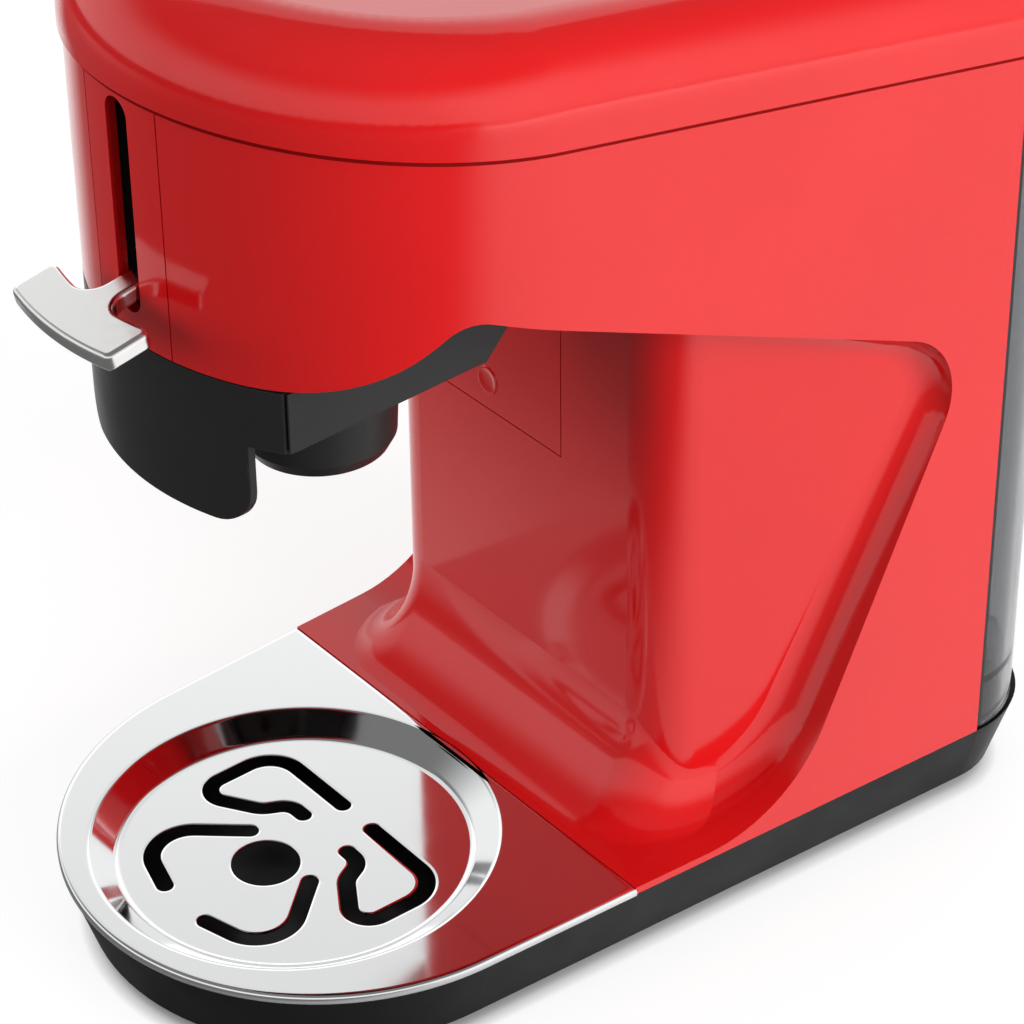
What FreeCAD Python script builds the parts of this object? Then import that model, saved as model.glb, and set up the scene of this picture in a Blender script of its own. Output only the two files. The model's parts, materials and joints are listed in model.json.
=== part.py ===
import FreeCAD, Part
import math
import os
import re
import Sketcher

# A compact capsule espresso machine. Millimetres, Z up, the front looks along -Y, X = 0 is the middle.
# The origin lies under the middle of the bounding box, on the floor.

doc = FreeCAD.newDocument("espresso_machine")

# Driving dimensions
SIZES = [
    ("deck_width", 140.0, "width across the sides at the drip plate's back edge"),
    ("side_taper", 3.22, "degrees that each side closes in towards the front"),
    ("tray_depth", 107.7, "base front to the drip plate's back edge"),
    ("head_ahead", 86.0, "head front ahead of the drip plate's back edge"),
    ("body_length", 109.8, "drip plate's back edge to the body's rear face"),
    ("tank_room", 30.5, "body's rear face to the base's rear"),
    ("rear_corner", 28.0, "rounding of the rear corners in plan"),
    ("deck_height", 25.0, "floor to the drip plate's top"),
    ("tray_rim", 2.0, "height of the drip plate's rim"),
    ("plinth_height", 3.6, "floor to the base pan's underside"),
    ("plinth_lift", 1.0, "floor to the plinth's lower edge"),
    ("plinth_inset", 11.0, "plinth behind the base pan's upper edge"),
    ("plinth_wall", 3.4, "plinth ring's width"),
    ("foot_inset", 24.0, "rear feet inside the deck's half width"),
    ("foot_narrow", 12.0, "front feet further in than the rear feet"),
    ("foot_front", 52.0, "front feet behind the base's front"),
    ("foot_rear", 30.0, "rear feet ahead of the base's rear"),
    ("screw_inset", 18.0, "base screws inside the deck's half width"),
    ("screw_front", 8.3, "front base screws behind the drip plate's back edge"),
    ("screw_rear", 13.5, "rear base screws ahead of the body's rear face"),
    ("base_wall", 2.8, "base pan's wall and floor"),
    ("base_draft", 6.0, "base pan's lower edge behind its upper edge"),
    ("tongue_depth", 6.0, "depth of the body's tongue in the base pan"),
    ("tongue_wall", 2.0, "wall of that tongue"),
    ("base_edge", 1.2, "rounding of the base pan's lower edge"),
    ("shell_wall", 2.6, "wall of the red mouldings"),
    ("panel_gap", 0.35, "joint lines between outer panels"),
    ("slip", 0.4, "clearance of pieces that lift or slide out"),
    ("seam_climb", 51.8, "cover seam above the head's front lower edge, over the nose centre"),
    ("seam_tilt", 7.4, "degrees that the seam falls to the rear"),
    ("seam_gap", 0.6, "joint under the top cover"),
    ("cover_overhang", 1.0, "top cover beyond the head's wall"),
    ("cover_height", 25.0, "crown of the top cover above the seam"),
    ("cover_round", 19.0, "rounding of the top cover's upper edge"),
    ("head_rise", 156.0, "deck to the head's front lower edge"),
    ("core_drop", 5.0, "red core's underside below the head's front lower edge"),
    ("core_front_half", 39.7, "half width of the core at its front"),
    ("core_rear_half", 34.0, "half width of the core at the column"),
    ("core_ahead", 73.0, "core's front ahead of the drip plate's back edge"),
    ("ramp_ahead", 62.7, "start of the arch's ramp ahead of the drip plate's back edge"),
    ("ramp_round", 45.0, "rounding at the ramp's start"),
    ("peak_ahead", 42.9, "arch's peak ahead of the drip plate's back edge"),
    ("peak_climb", 17.6, "arch's peak above the head's front lower edge"),
    ("peak_round", 9.0, "rounding of the arch's peak"),
    ("pocket_behind", 99.8, "side pocket's upper rear corner behind the drip plate's back edge"),
    ("pocket_rise", 118.3, "deck to the side pocket's upper rear corner"),
    ("pocket_round", 20.0, "rounding of that corner"),
    ("foot_behind", 47.2, "side pocket's lower rear corner behind the drip plate's back edge"),
    ("foot_round", 38.0, "rounding of that corner"),
    ("column_behind", 21.0, "column's front behind the drip plate's back edge"),
    ("column_half", 52.0, "column's half width at its front"),
    ("column_flare", 13.0, "degrees the column's sides open towards the rear"),
    ("column_round", 14.0, "rounding of the column's front edges"),
    ("pocket_blend", 9.0, "blend between the column and the faces round it"),
    ("panel_half", 13.1, "half width of the slotted front panel"),
    ("slot_width", 8.0, "lever slot"),
    ("slot_climb", 7.0, "lever slot's lower end above the head's front lower edge"),
    ("slot_length", 52.0, "lever slot's length"),
    ("hatch_rise", 89.0, "deck to the column panel's lower edge"),
    ("hatch_height", 48.0, "column panel's height"),
    ("skirt_wall", 1.2, "black skirt round the core under the head"),
    ("drawer_seam", 1.2, "drawer front's ends inside the bars' faces"),
    ("group_half", 33.5, "half width of the opening over the capsule"),
    ("group_ahead", 65.5, "that opening's front edge ahead of the drip plate's back edge"),
    ("group_behind", 5.5, "its rear edge ahead of the drip plate's back edge"),
    ("hatch_left", 38.0, "column panel's left edge beside the middle"),
    ("hatch_right", 15.8, "column panel's right edge beside the middle"),
    ("hatch_depth", 1.4, "column panel's thickness"),
    ("dish_ahead", 51.2, "dish centre ahead of the drip plate's back edge"),
    ("dish_radius", 50.4, "dish at the drip plate's top"),
    ("dish_floor_radius", 44.2, "dish at its floor"),
    ("dish_depth", 5.0, "drip plate's top to the dish floor"),
    ("plate_thick", 1.2, "drip plate's sheet"),
    ("drain_hole", 8.5, "radius of the finger hole in the dish"),
    ("drain_slot", 4.2, "width of the drain slots"),
    ("tub_wall", 1.6, "drip tub's wall"),
    ("bar_drop", 15.6, "group bars' underside below the head's front lower edge"),
    ("bar_inner", 32.5, "half width between the group bars"),
    ("bar_length", 63.0, "length of the group housing"),
    ("ledge_inner", 28.5, "half width between the drawer's ledges"),
    ("ledge_height", 2.0, "height of the drawer's ledges"),
    ("spout_ahead", 38.2, "spout's axis ahead of the drip plate's back edge"),
    ("spout_drop", 45.1, "spout's lower rim below the head's front lower edge"),
    ("spout_radius", 18.3, "spout's outer radius at its lower rim"),
    ("spout_flare", 1.3, "spout's growth in radius towards its top"),
    ("spout_wall", 2.2, "spout's wall"),
    ("lip_drop", 37.0, "drawer front's lower edge below the head's"),
    ("lip_half", 31.2, "half width of the drawer front's lip"),
    ("lip_round", 7.0, "rounding of the lip's lower corners"),
    ("front_wall", 3.2, "drawer front's thickness"),
    ("capsule_radius", 17.0, "capsule seat in the drawer"),
    ("pivot_behind", 12.3, "lever pivot behind the drip plate's back edge"),
    ("pivot_climb", 32.3, "lever pivot above the head's front lower edge"),
    ("pivot_radius", 3.0, "lever pivot pin"),
    ("pin_fit", 0.05, "running clearance of pins and bushes"),
    ("lever_droop", 11.3, "degrees that the lever hangs below level at rest"),
    ("grip_ahead", 22.3, "lever grip's front ahead of the head's, with the lever level"),
    ("grip_depth", 11.7, "lever grip, front to rear"),
    ("grip_half", 19.0, "lever grip's half width"),
    ("grip_thick", 4.6, "lever grip's thickness"),
    ("stem_width", 6.4, "lever stem in the slot"),
    ("arm_thick", 6.0, "lever arm's thickness"),
    ("arm_height", 13.0, "lever arm's height"),
    ("piston_radius", 14.5, "piston"),
    ("guide_gap", 0.3, "piston in its guide"),
    ("cross_pin", 2.5, "radius of the piston's cross pin"),
    ("tank_setback", 0.6, "tank behind the body's rear face"),
    ("tank_wall", 2.2, "tank's wall"),
    ("tank_floor", 13.0, "deck to the top of the tank's floor"),
    ("valve_radius", 7.0, "tank valve"),
    ("button_radius", 8.0, "brew buttons"),
    ("button_spread", 13.0, "brew buttons beside the middle"),
    ("pump_ahead", 31.8, "pump's axis ahead of the body's rear face"),
    ("pump_radius", 12.0, "pump tube"),
    ("hose_radius", 3.5, "suction hose"),
    ("gland_bore", 3.2, "radius of the cord's way through the gland"),
]

sheet = doc.addObject("Spreadsheet::Sheet", "Sizes")
for row, (alias, amount, meaning) in enumerate(SIZES, start=1):
    sheet.set(f"A{row}", meaning)
    sheet.set(f"B{row}", str(amount))
    sheet.setAlias(f"B{row}", alias)
doc.recompute()
ALIAS = re.compile(r"\b(" + "|".join(alias for alias, amount, meaning in SIZES) + r")\b")


def in_sheet(text):
    """An expression whose size names point into the sheet."""
    return ALIAS.sub(r"Sizes.\1", str(text))


def number(text):
    """The value of an expression of sizes."""
    return float(sheet.evalExpression(in_sheet(text)))


def bind(target, name, text):
    target.setExpression(name, in_sheet(text))


# Places derived from the sizes
DEPTH = "(tray_depth + body_length + tank_room)"
FRONT = f"(-{DEPTH} / 2)"
REAR = f"({DEPTH} / 2)"
TRAY_BACK = f"({FRONT} + tray_depth)"
BODY_REAR = f"({TRAY_BACK} + body_length)"
BASE_TOP = "(deck_height - tray_rim)"
PAN_FLOOR = "(plinth_height + base_wall)"
COLUMN = f"({TRAY_BACK} + column_behind)"
CORE_FRONT = f"({TRAY_BACK} - core_ahead)"
HEAD_LOW = "(deck_height + head_rise)"
HEAD_SETBACK = "(tray_depth - head_ahead)"
HEAD_FRONT = f"({FRONT} + {HEAD_SETBACK})"
CORE_LOW = f"({HEAD_LOW} - core_drop)"
CORE_TOP = f"({CORE_LOW} + shell_wall)"
SEAM_Z = f"({HEAD_LOW} + seam_climb)"
SPOUT_Y = f"({TRAY_BACK} - spout_ahead)"
PIVOT_Y = f"({TRAY_BACK} + pivot_behind)"
PIVOT_Z = f"({HEAD_LOW} + pivot_climb)"
BAR_LOW = f"({HEAD_LOW} - bar_drop)"
TANK_FRONT = f"({BODY_REAR} + tank_setback)"
TANK_REAR = f"({REAR} - 1)"
CEILING = f"({SEAM_Z} + 60)"

pieces = {}


def keep(piece, label):
    """Names a finished piece, which is what gets written out."""
    piece.Label = label
    pieces[label] = piece
    return piece


def box(low, size):
    """A block from its low corner and its sizes, all expressions."""
    block = doc.addObject("Part::Box", "block")
    for name, text in zip(("Length", "Width", "Height"), size):
        bind(block, name, text)
    for name, text in zip("xyz", low):
        bind(block, f"Placement.Base.{name}", text)
    return block


def middle_box(half, y_low, y_high, z_low, z_high):
    """A block across the middle plane."""
    low = (f"-({half})", y_low, z_low)
    return box(low, (f"2 * ({half})", f"({y_high}) - ({y_low})", f"({z_high}) - ({z_low})"))


TURNS = {
    "z": FreeCAD.Rotation(),
    "x": FreeCAD.Rotation(FreeCAD.Vector(0, 1, 0), 90),
    "y": FreeCAD.Rotation(FreeCAD.Vector(1, 0, 0), -90),
}


def cylinder(radius, length, start, along="z"):
    """A round bar from its start point along one axis."""
    bar = doc.addObject("Part::Cylinder", "bar")
    bar.Placement = FreeCAD.Placement(FreeCAD.Vector(), TURNS[along])
    bind(bar, "Radius", radius)
    bind(bar, "Height", length)
    for name, text in zip("xyz", start):
        bind(bar, f"Placement.Base.{name}", text)
    return bar


def cone(low_radius, high_radius, height, start):
    frustum = doc.addObject("Part::Cone", "frustum")
    bind(frustum, "Radius1", low_radius)
    bind(frustum, "Radius2", high_radius)
    bind(frustum, "Height", height)
    for name, text in zip("xyz", start):
        bind(frustum, f"Placement.Base.{name}", text)
    return frustum


def fuse(*shapes):
    joined = doc.addObject("Part::MultiFuse", "joined")
    joined.Shapes = list(shapes)
    return joined


def cut(base, *tools):
    """Base less all tools."""
    pared = doc.addObject("Part::Cut", "pared")
    pared.Base = base
    pared.Tool = tools[0] if len(tools) == 1 else fuse(*tools)
    return pared


def common(first, second):
    shared = doc.addObject("Part::MultiCommon", "shared")
    shared.Shapes = [first, second]
    return shared


def new_body(plane, offset):
    """A body with a sketch on one of its own origin planes."""
    body = doc.addObject("PartDesign::Body", "body")
    sketch = body.newObject("Sketcher::SketchObject", "outline")
    support = [item for item in body.Origin.OriginFeatures if item.Role == plane][0]
    sketch.AttachmentSupport = [(support, "")]
    sketch.MapMode = "FlatFace"
    bind(sketch, "AttachmentOffset.Base.z", offset)
    return body, sketch


def pad(body, sketch, length):
    extrusion = body.newObject("PartDesign::Pad", "pad")
    extrusion.Profile = sketch
    bind(extrusion, "Length", length)
    doc.recompute()
    return body


def fix(sketch, kind, *places, text):
    """A dimension in a sketch that follows an expression."""
    index = sketch.addConstraint(Sketcher.Constraint(kind, *places, number(text)))
    bind(sketch, f"Constraints[{index}]", text)


def polygon_body(plane, corners, offset, length):
    """A straight-sided prism, each corner held by its two coordinates."""
    body, sketch = new_body(plane, offset)
    points = [FreeCAD.Vector(number(x), number(y), 0) for x, y in corners]
    count = len(points)
    for index in range(count):
        sketch.addGeometry(Part.LineSegment(points[index], points[(index + 1) % count]))
    for index in range(count):
        sketch.addConstraint(Sketcher.Constraint("Coincident", index, 2, (index + 1) % count, 1))
    for index, (x, y) in enumerate(corners):
        fix(sketch, "DistanceX", -1, 1, index, 1, text=x)
        fix(sketch, "DistanceY", -1, 1, index, 1, text=y)
    return pad(body, sketch, length)


def half_width(y, inset="0"):
    """Half width of the tapered plan at a place along Y."""
    return f"(deck_width / 2 - ({inset}) / cos(side_taper) + tan(side_taper) * (({y}) - {TRAY_BACK}))"


def trapezoid_body(y_low, y_high, inset, z_low, z_high):
    """A prism between the tapered sides."""
    front_half = half_width(y_low, inset)
    rear_half = half_width(y_high, inset)
    corners = [(f"-{front_half}", y_low), (front_half, y_low), (rear_half, y_high), (f"-{rear_half}", y_high)]
    return polygon_body("XY_Plane", corners, z_low, f"({z_high}) - ({z_low})")


def nose_radius(setback, inset):
    """Radius of the round front that runs into both tapered sides."""
    flank = f"(deck_width / 2 - tan(side_taper) * (tray_depth - ({setback})))"
    return f"(cos(side_taper) * {flank} / (1 - sin(side_taper)) - ({inset}))"


def nose_centre(setback):
    return f"({FRONT} + ({setback}) + {nose_radius(setback, '0')})"


def plan_sketch(setback, rear, inset, z_low):
    """The outline with the round front, the tapered sides and rounded rear corners."""
    body, sketch = new_body("XY_Plane", z_low)
    rounding = f"(rear_corner - ({inset}))"
    back = f"({rear} - ({inset}))"
    corner_y = f"({back} - {rounding})"
    corner_x = f"({half_width(corner_y, inset)} - {rounding} / cos(side_taper))"
    taper = math.radians(number("side_taper"))
    nose = FreeCAD.Vector(0, number(nose_centre(setback)), 0)
    nose_size = number(nose_radius(setback, inset))
    bend = FreeCAD.Vector(number(corner_x), number(corner_y), 0)
    bend_size = number(rounding)
    flank = FreeCAD.Vector(math.cos(taper), -math.sin(taper), 0)
    mirror = FreeCAD.Vector(-flank.x, flank.y, 0)
    left_bend = FreeCAD.Vector(-bend.x, bend.y, 0)
    upward = FreeCAD.Vector(0, 0, 1)
    nose_circle = Part.Circle(nose, upward, nose_size)
    right_circle = Part.Circle(bend, upward, bend_size)
    left_circle = Part.Circle(left_bend, upward, bend_size)
    quarter = math.pi / 2
    sketch.addGeometry(Part.ArcOfCircle(nose_circle, math.pi + taper, 2 * math.pi - taper))
    sketch.addGeometry(Part.LineSegment(nose + flank * nose_size, bend + flank * bend_size))
    sketch.addGeometry(Part.ArcOfCircle(right_circle, -taper, quarter))
    back_y = FreeCAD.Vector(0, bend_size, 0)
    sketch.addGeometry(Part.LineSegment(bend + back_y, left_bend + back_y))
    sketch.addGeometry(Part.ArcOfCircle(left_circle, quarter, math.pi + taper))
    sketch.addGeometry(Part.LineSegment(left_bend + mirror * bend_size, nose + mirror * nose_size))
    for index in range(6):
        sketch.addConstraint(Sketcher.Constraint("Tangent", index, 2, (index + 1) % 6, 1))
    for index, x, y, radius in (
        (0, "0", nose_centre(setback), nose_radius(setback, inset)),
        (2, corner_x, corner_y, rounding),
        (4, f"-{corner_x}", corner_y, rounding),
    ):
        fix(sketch, "DistanceX", -1, 1, index, 3, text=x)
        fix(sketch, "DistanceY", -1, 1, index, 3, text=y)
        fix(sketch, "Radius", index, text=radius)
    return body, sketch


def plan_body(setback, rear, inset, z_low, z_high):
    """A prism on that outline."""
    body, sketch = plan_sketch(setback, rear, inset, z_low)
    return pad(body, sketch, f"({z_high}) - ({z_low})")


def rounded(base, radius, wanted):
    """Base with its wanted edges rounded; wanted tells from an edge whether it is one of them."""
    doc.recompute()
    size = number(radius)
    blend = doc.addObject("Part::Fillet", "blend")
    blend.Base = base
    blend.Edges = [(index, size, size) for index, edge in enumerate(base.Shape.Edges, 1) if wanted(edge)]
    doc.recompute()
    return blend


def level_edge(z):
    """Picks edges that lie wholly at one height."""
    height = number(z)
    return lambda edge: abs(edge.BoundBox.ZMin - height) < 0.01 and abs(edge.BoundBox.ZMax - height) < 0.01


def across_edge(y, z):
    """Picks the edge that runs along X through a point of the side view."""
    place_y = number(y)
    place_z = number(z)

    def wanted(edge):
        bounds = edge.BoundBox
        near = abs(bounds.YMin - place_y) + abs(bounds.YMax - place_y)
        return near + abs(bounds.ZMin - place_z) + abs(bounds.ZMax - place_z) < 0.05

    return wanted


def upright_edge(x, y):
    """Picks the upright edge through a point of the plan."""
    place_x = number(x)
    place_y = number(y)

    def wanted(edge):
        bounds = edge.BoundBox
        near = abs(bounds.XMin - place_x) + abs(bounds.XMax - place_x)
        return near + abs(bounds.YMin - place_y) + abs(bounds.YMax - place_y) < 0.05

    return wanted


# Base pan, plinth and feet


def drafted_body(inset, z_low, z_high, draft):
    """The whole plan drawn in towards its lower edge."""
    loft = doc.addObject("Part::Loft", "drafted")
    loft.Sections = [plan_outline(inset, z_high), plan_outline(f"{inset} + {draft}", z_low)]
    loft.Solid = True
    loft.Ruled = True
    return loft


def plan_outline(inset, z):
    body, sketch = plan_sketch("0", REAR, inset, z)
    doc.recompute()
    return sketch


DRAFT_RATE = f"(base_draft / ({BASE_TOP} - plinth_height))"
pan_outer = drafted_body("0", "plinth_height", BASE_TOP, "base_draft")
pan_outer = rounded(pan_outer, "base_edge", level_edge("plinth_height"))
pan_depth = f"({BASE_TOP} - {PAN_FLOOR})"
pan_inner = drafted_body("base_wall", PAN_FLOOR, BASE_TOP, f"{DRAFT_RATE} * {pan_depth}")
GLAND_X = "-40"
SWITCH_X = "34"
DECK_LOW = f"({BASE_TOP} - 2.6)"
GLAND_Z = f"(({PAN_FLOOR} + {DECK_LOW}) / 2)"
GLAND_Y = f"({REAR} - base_wall - base_draft)"
gland_hole = cylinder("gland_bore + 1.6", "base_wall + base_draft", (GLAND_X, GLAND_Y, GLAND_Z), "y")
switch_low = (f"{SWITCH_X} - 10.2", GLAND_Y, f"{GLAND_Z} - 5.2")
switch_hole = box(switch_low, ("20.4", "base_wall + base_draft + 1", "10.4"))
SCREW_X = number("deck_width / 2 - screw_inset")
SCREW_YS = (number(f"{TRAY_BACK} + screw_front"), number(f"{BODY_REAR} - screw_rear"))
SCREW_PLACES = [(side * SCREW_X, y) for side in (-1, 1) for y in SCREW_YS]
screw_holes = [cylinder("1.8", "base_wall + 2", (x, y, "plinth_height - 1")) for x, y in SCREW_PLACES]
keep(cut(pan_outer, pan_inner, gland_hole, switch_hole, *screw_holes), "base_pan")

plinth_outer = plan_body("0", REAR, "plinth_inset", "plinth_lift", "plinth_height")
plinth_inner = plan_body("0", REAR, "plinth_inset + plinth_wall", "plinth_lift - 1", "plinth_height + 1")
keep(cut(plinth_outer, plinth_inner), "plinth")

front_foot = (number("deck_width / 2 - foot_inset - foot_narrow"), number(f"{FRONT} + foot_front"))
rear_foot = (number("deck_width / 2 - foot_inset"), number(f"{REAR} - foot_rear"))
FOOT_PLACES = [(side * x, y) for side in (-1, 1) for x, y in (front_foot, rear_foot)]
keep(fuse(*[cylinder("8", "plinth_height", (x, y, "0")) for x, y in FOOT_PLACES]), "rubber_feet")

base_screws = []
for x, y in SCREW_PLACES:
    base_screws.append(cylinder("3", "1.6", (x, y, "plinth_height - 1.6")))
    base_screws.append(cylinder("1.5", f"{PAN_FLOOR} + 8 - plinth_height", (x, y, "plinth_height")))
keep(fuse(*base_screws), "base_screws")

# Drip plate and drip tub
PLATE_BACK = f"({TRAY_BACK} - slip)"
plate_block = plan_body("0", REAR, "0", BASE_TOP, "deck_height")
plate_hollow = plan_body("0", REAR, "1.4", f"{BASE_TOP} - 1", "deck_height - plate_thick")
behind_plate = middle_box("deck_width", PLATE_BACK, f"{REAR} + 1", "0", "deck_height + 1")
behind_hollow = middle_box("deck_width", f"{PLATE_BACK} - 1.4", f"{REAR} + 1", "0", "deck_height + 1")
DISH_Y = f"({TRAY_BACK} - dish_ahead)"
DISH_FLOOR = "(deck_height - dish_depth)"
dish_place = ("0", DISH_Y, DISH_FLOOR)
dish_void = cone("dish_floor_radius", "dish_radius", "dish_depth", dish_place)
dish_skin = cone(
    "dish_floor_radius + plate_thick / 2",
    "dish_radius + plate_thick / 2",
    "dish_depth + plate_thick / 2",
    ("0", DISH_Y, f"{DISH_FLOOR} - plate_thick"),
)
plate_sheet = cut(cut(plate_block, behind_plate), cut(plate_hollow, behind_hollow))
plate_sheet = cut(fuse(plate_sheet, dish_skin), dish_void)


def drain_run(points):
    """A drain slot along a run of points, as round-ended cuts joined up."""
    low = f"{DISH_FLOOR} - plate_thick - 1"
    height = "plate_thick + 2"
    cuts = []
    for place in points:
        cuts.append(cylinder("drain_slot / 2", height, (place[0], f"{DISH_Y} + {place[1]}", low)))
    for start, end in zip(points, points[1:]):
        run = math.hypot(end[0] - start[0], end[1] - start[1])
        turn = math.degrees(math.atan2(end[1] - start[1], end[0] - start[0]))
        bridge = box(("0", "0", low), (run, "drain_slot", height))
        spin = FreeCAD.Rotation(FreeCAD.Vector(0, 0, 1), turn)
        side = spin.multVec(FreeCAD.Vector(0, -0.5, 0))
        bridge.Placement = FreeCAD.Placement(FreeCAD.Vector(), spin)
        bind(bridge, "Placement.Base.x", f"{start[0]} + drain_slot * ({side.x})")
        bind(bridge, "Placement.Base.y", f"{DISH_Y} + {start[1]} + drain_slot * ({side.y})")
        bind(bridge, "Placement.Base.z", low)
        cuts.append(bridge)
    return cuts


REAR_HOOK = [(6.3, 19.1), (26.3, 18.8), (31.6, 16.2), (34.5, 11), (34.3, 2.2), (32.2, -2.1), (26.9, -3.3)]
REAR_HOOK += [(21.7, -0.6), (18.2, 2.2), (15.1, 7.5), (12.6, 8.9), (9.4, 9.1)]
FRONT_BEND = [(12.7, -4.8), (23, -16.6), (24.5, -22.3), (22.5, -27.2), (16.1, -31), (8.7, -33.1)]
drains = []
for run in (REAR_HOOK, FRONT_BEND):
    for side in (-1, 1):
        drains += drain_run([(side * x, y) for x, y in run])
HOLE_Y = f"({DISH_Y} - 9.1)"
drains.append(cylinder("drain_hole", "plate_thick + 2", ("0", HOLE_Y, f"{DISH_FLOOR} - plate_thick - 1")))
keep(cut(plate_sheet, *drains), "drip_plate")

TUB_TOP = f"({DISH_FLOOR} - plate_thick - 0.3)"
tub_inset = f"(base_wall + slip + {DRAFT_RATE} * ({BASE_TOP} - {TUB_TOP}))"
tub_block = drafted_body(tub_inset, PAN_FLOOR, TUB_TOP, f"{DRAFT_RATE} * ({TUB_TOP} - {PAN_FLOOR})")
TUB_FLOOR = f"({PAN_FLOOR} + tub_wall)"
tub_draft = f"{DRAFT_RATE} * ({TUB_TOP} - {TUB_FLOOR})"
tub_hollow = drafted_body(f"{tub_inset} + tub_wall", TUB_FLOOR, TUB_TOP, tub_draft)
behind_tub = middle_box("deck_width", f"{TRAY_BACK} - 3", f"{REAR} + 1", "0", "deck_height")
behind_tub_hollow = middle_box("deck_width", f"{TRAY_BACK} - 3 - tub_wall", f"{REAR} + 1", "0", "deck_height")
keep(cut(cut(tub_block, behind_tub), cut(tub_hollow, behind_tub_hollow)), "drip_tub")

# Red body: the plan raised to the seam, less the cup space and the two side pockets


def above_seam(lift):
    """All space above the tilted seam plane raised by a lift."""
    space = middle_box("deck_width", f"-{DEPTH}", DEPTH, "0", "200")
    tilt = FreeCAD.Rotation(FreeCAD.Vector(1, 0, 0), -number("seam_tilt"))
    centre = FreeCAD.Vector(0, number(nose_centre(HEAD_SETBACK)), number(SEAM_Z) + number(lift))
    slope = tilt.multVec(FreeCAD.Vector(-number("deck_width"), -number(DEPTH), 0))
    space.setExpression("Placement.Base.x", None)
    space.setExpression("Placement.Base.y", None)
    space.setExpression("Placement.Base.z", None)
    space.Placement = FreeCAD.Placement(centre + slope, tilt)
    return space


def niche_prism(grow, across):
    """Cup space and side pockets in the side view, through the whole width, grown by a wall."""
    # each corner moves out with the wall, along the two faces that meet there
    front = f"{FRONT} - 40"
    corners = [
        (front, f"{HEAD_LOW} + {grow}"),
        (f"{TRAY_BACK} - ramp_ahead", f"{HEAD_LOW} + {grow}"),
        (f"{TRAY_BACK} - peak_ahead - {grow} * 0.2", f"{HEAD_LOW} + peak_climb + {grow} * 1.15"),
        (f"{TRAY_BACK} + pocket_behind + {grow} * 1.4", f"deck_height + pocket_rise + {grow} * 0.55"),
        (f"{TRAY_BACK} + foot_behind + {grow} * 0.65", f"deck_height - {grow}"),
        (front, f"deck_height - {grow}"),
    ]
    return polygon_body("YZ_Plane", corners, f"-({across})", f"2 * ({across})"), corners


def column_prism(shrink, low, high):
    front = f"({COLUMN} + {shrink})"
    rear = f"({BODY_REAR} + 5)"
    front_half = f"(column_half - {shrink})"
    rear_half = f"(column_half - {shrink} + tan(column_flare) * ({rear} - {front}))"
    corners = [(f"-{front_half}", front), (front_half, front), (rear_half, rear), (f"-{rear_half}", rear)]
    return polygon_body("XY_Plane", corners, low, f"({high}) - ({low})"), front_half, front


def core_prism(shrink, low, high):
    front = f"({CORE_FRONT} + {shrink})"
    rear = f"({COLUMN} + 5 + 2 * {shrink})"
    front_half = f"(core_front_half - {shrink})"
    rear_half = f"(core_rear_half - {shrink})"
    corners = [(f"-{front_half}", front), (front_half, front), (rear_half, rear), (f"-{rear_half}", rear)]
    prism = polygon_body("XY_Plane", corners, low, f"({high}) - ({low})")
    return common(prism, plan_body(HEAD_SETBACK, REAR, f"front_wall + slip + {shrink}", low, high))


niche, niche_corners = niche_prism("0", "deck_width")
for corner, radius in zip(niche_corners[1:5], ("ramp_round", "peak_round", "pocket_round", "foot_round")):
    niche = rounded(niche, radius, across_edge(*corner))
column, column_side, column_front = column_prism("0", "0", CEILING)
for side in ("", "-"):
    column = rounded(column, "column_round", upright_edge(f"{side}{column_side}", column_front))
core = core_prism("skirt_wall", CORE_LOW, CEILING)
cup_space = cut(niche, column, core)
doc.recompute()
column_solid = column.Shape


def against_column(edge):
    """Picks the edges where the cup space meets the column, below the core, that aren't upright."""
    bounds = edge.BoundBox
    if edge.Length < 0.05 or bounds.ZMax - bounds.ZMin > 0.98 * edge.Length:
        return False
    middle = edge.valueAt((edge.FirstParameter + edge.LastParameter) / 2)
    if middle.z > number("deck_height + pocket_rise"):
        return False
    return column_solid.distToShape(Part.Vertex(middle))[0] < 0.01


cup_space = rounded(cup_space, "pocket_blend", against_column)
head_block = plan_body(HEAD_SETBACK, f"({BODY_REAR} + rear_corner + 5)", "0", BASE_TOP, CEILING)
behind_body = middle_box("deck_width", BODY_REAR, f"{BODY_REAR} + 80", "0", CEILING)
before_deck = middle_box("deck_width", f"{FRONT} - 20", TRAY_BACK, "0", "deck_height")
red_block = cut(head_block, above_seam("0"), behind_body, before_deck, cup_space)

inner_niche, inner_corners = niche_prism("shell_wall", "deck_width")
inner_column, inner_side, inner_front = column_prism("shell_wall", "0", CEILING)
for side in ("", "-"):
    inner_edge = upright_edge(f"{side}{inner_side}", inner_front)
    inner_column = rounded(inner_column, "column_round - shell_wall", inner_edge)
inner_core = core_prism("shell_wall + skirt_wall", CORE_TOP, CEILING)
inner_plan = plan_body(HEAD_SETBACK, f"({BODY_REAR} + rear_corner + 5)", "shell_wall", "0", CEILING)
behind_inner = middle_box("deck_width", f"{BODY_REAR} - shell_wall", f"{BODY_REAR} + 80", "0", CEILING)
cavity = cut(inner_plan, cut(inner_niche, inner_column, inner_core), behind_inner)
GROUP_SPAN = (f"{TRAY_BACK} - group_ahead", f"{TRAY_BACK} - group_behind")
group_gap = middle_box("group_half", *GROUP_SPAN, f"{CORE_LOW} - 1", f"{CORE_TOP} + 1")
PANEL_SPAN = (f"{HEAD_FRONT} - 5", f"{HEAD_FRONT} + 12")
panel_way = middle_box("panel_half + panel_gap", *PANEL_SPAN, f"{HEAD_LOW} - 1", CEILING)
HATCH_LOW = "(deck_height + hatch_rise)"
hatch_pocket = box(
    ("-hatch_left - panel_gap", f"{COLUMN} - 1", f"{HATCH_LOW} - panel_gap"),
    ("hatch_left + hatch_right + 2 * panel_gap", "hatch_depth + 1", "hatch_height + 2 * panel_gap"),
)
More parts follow.
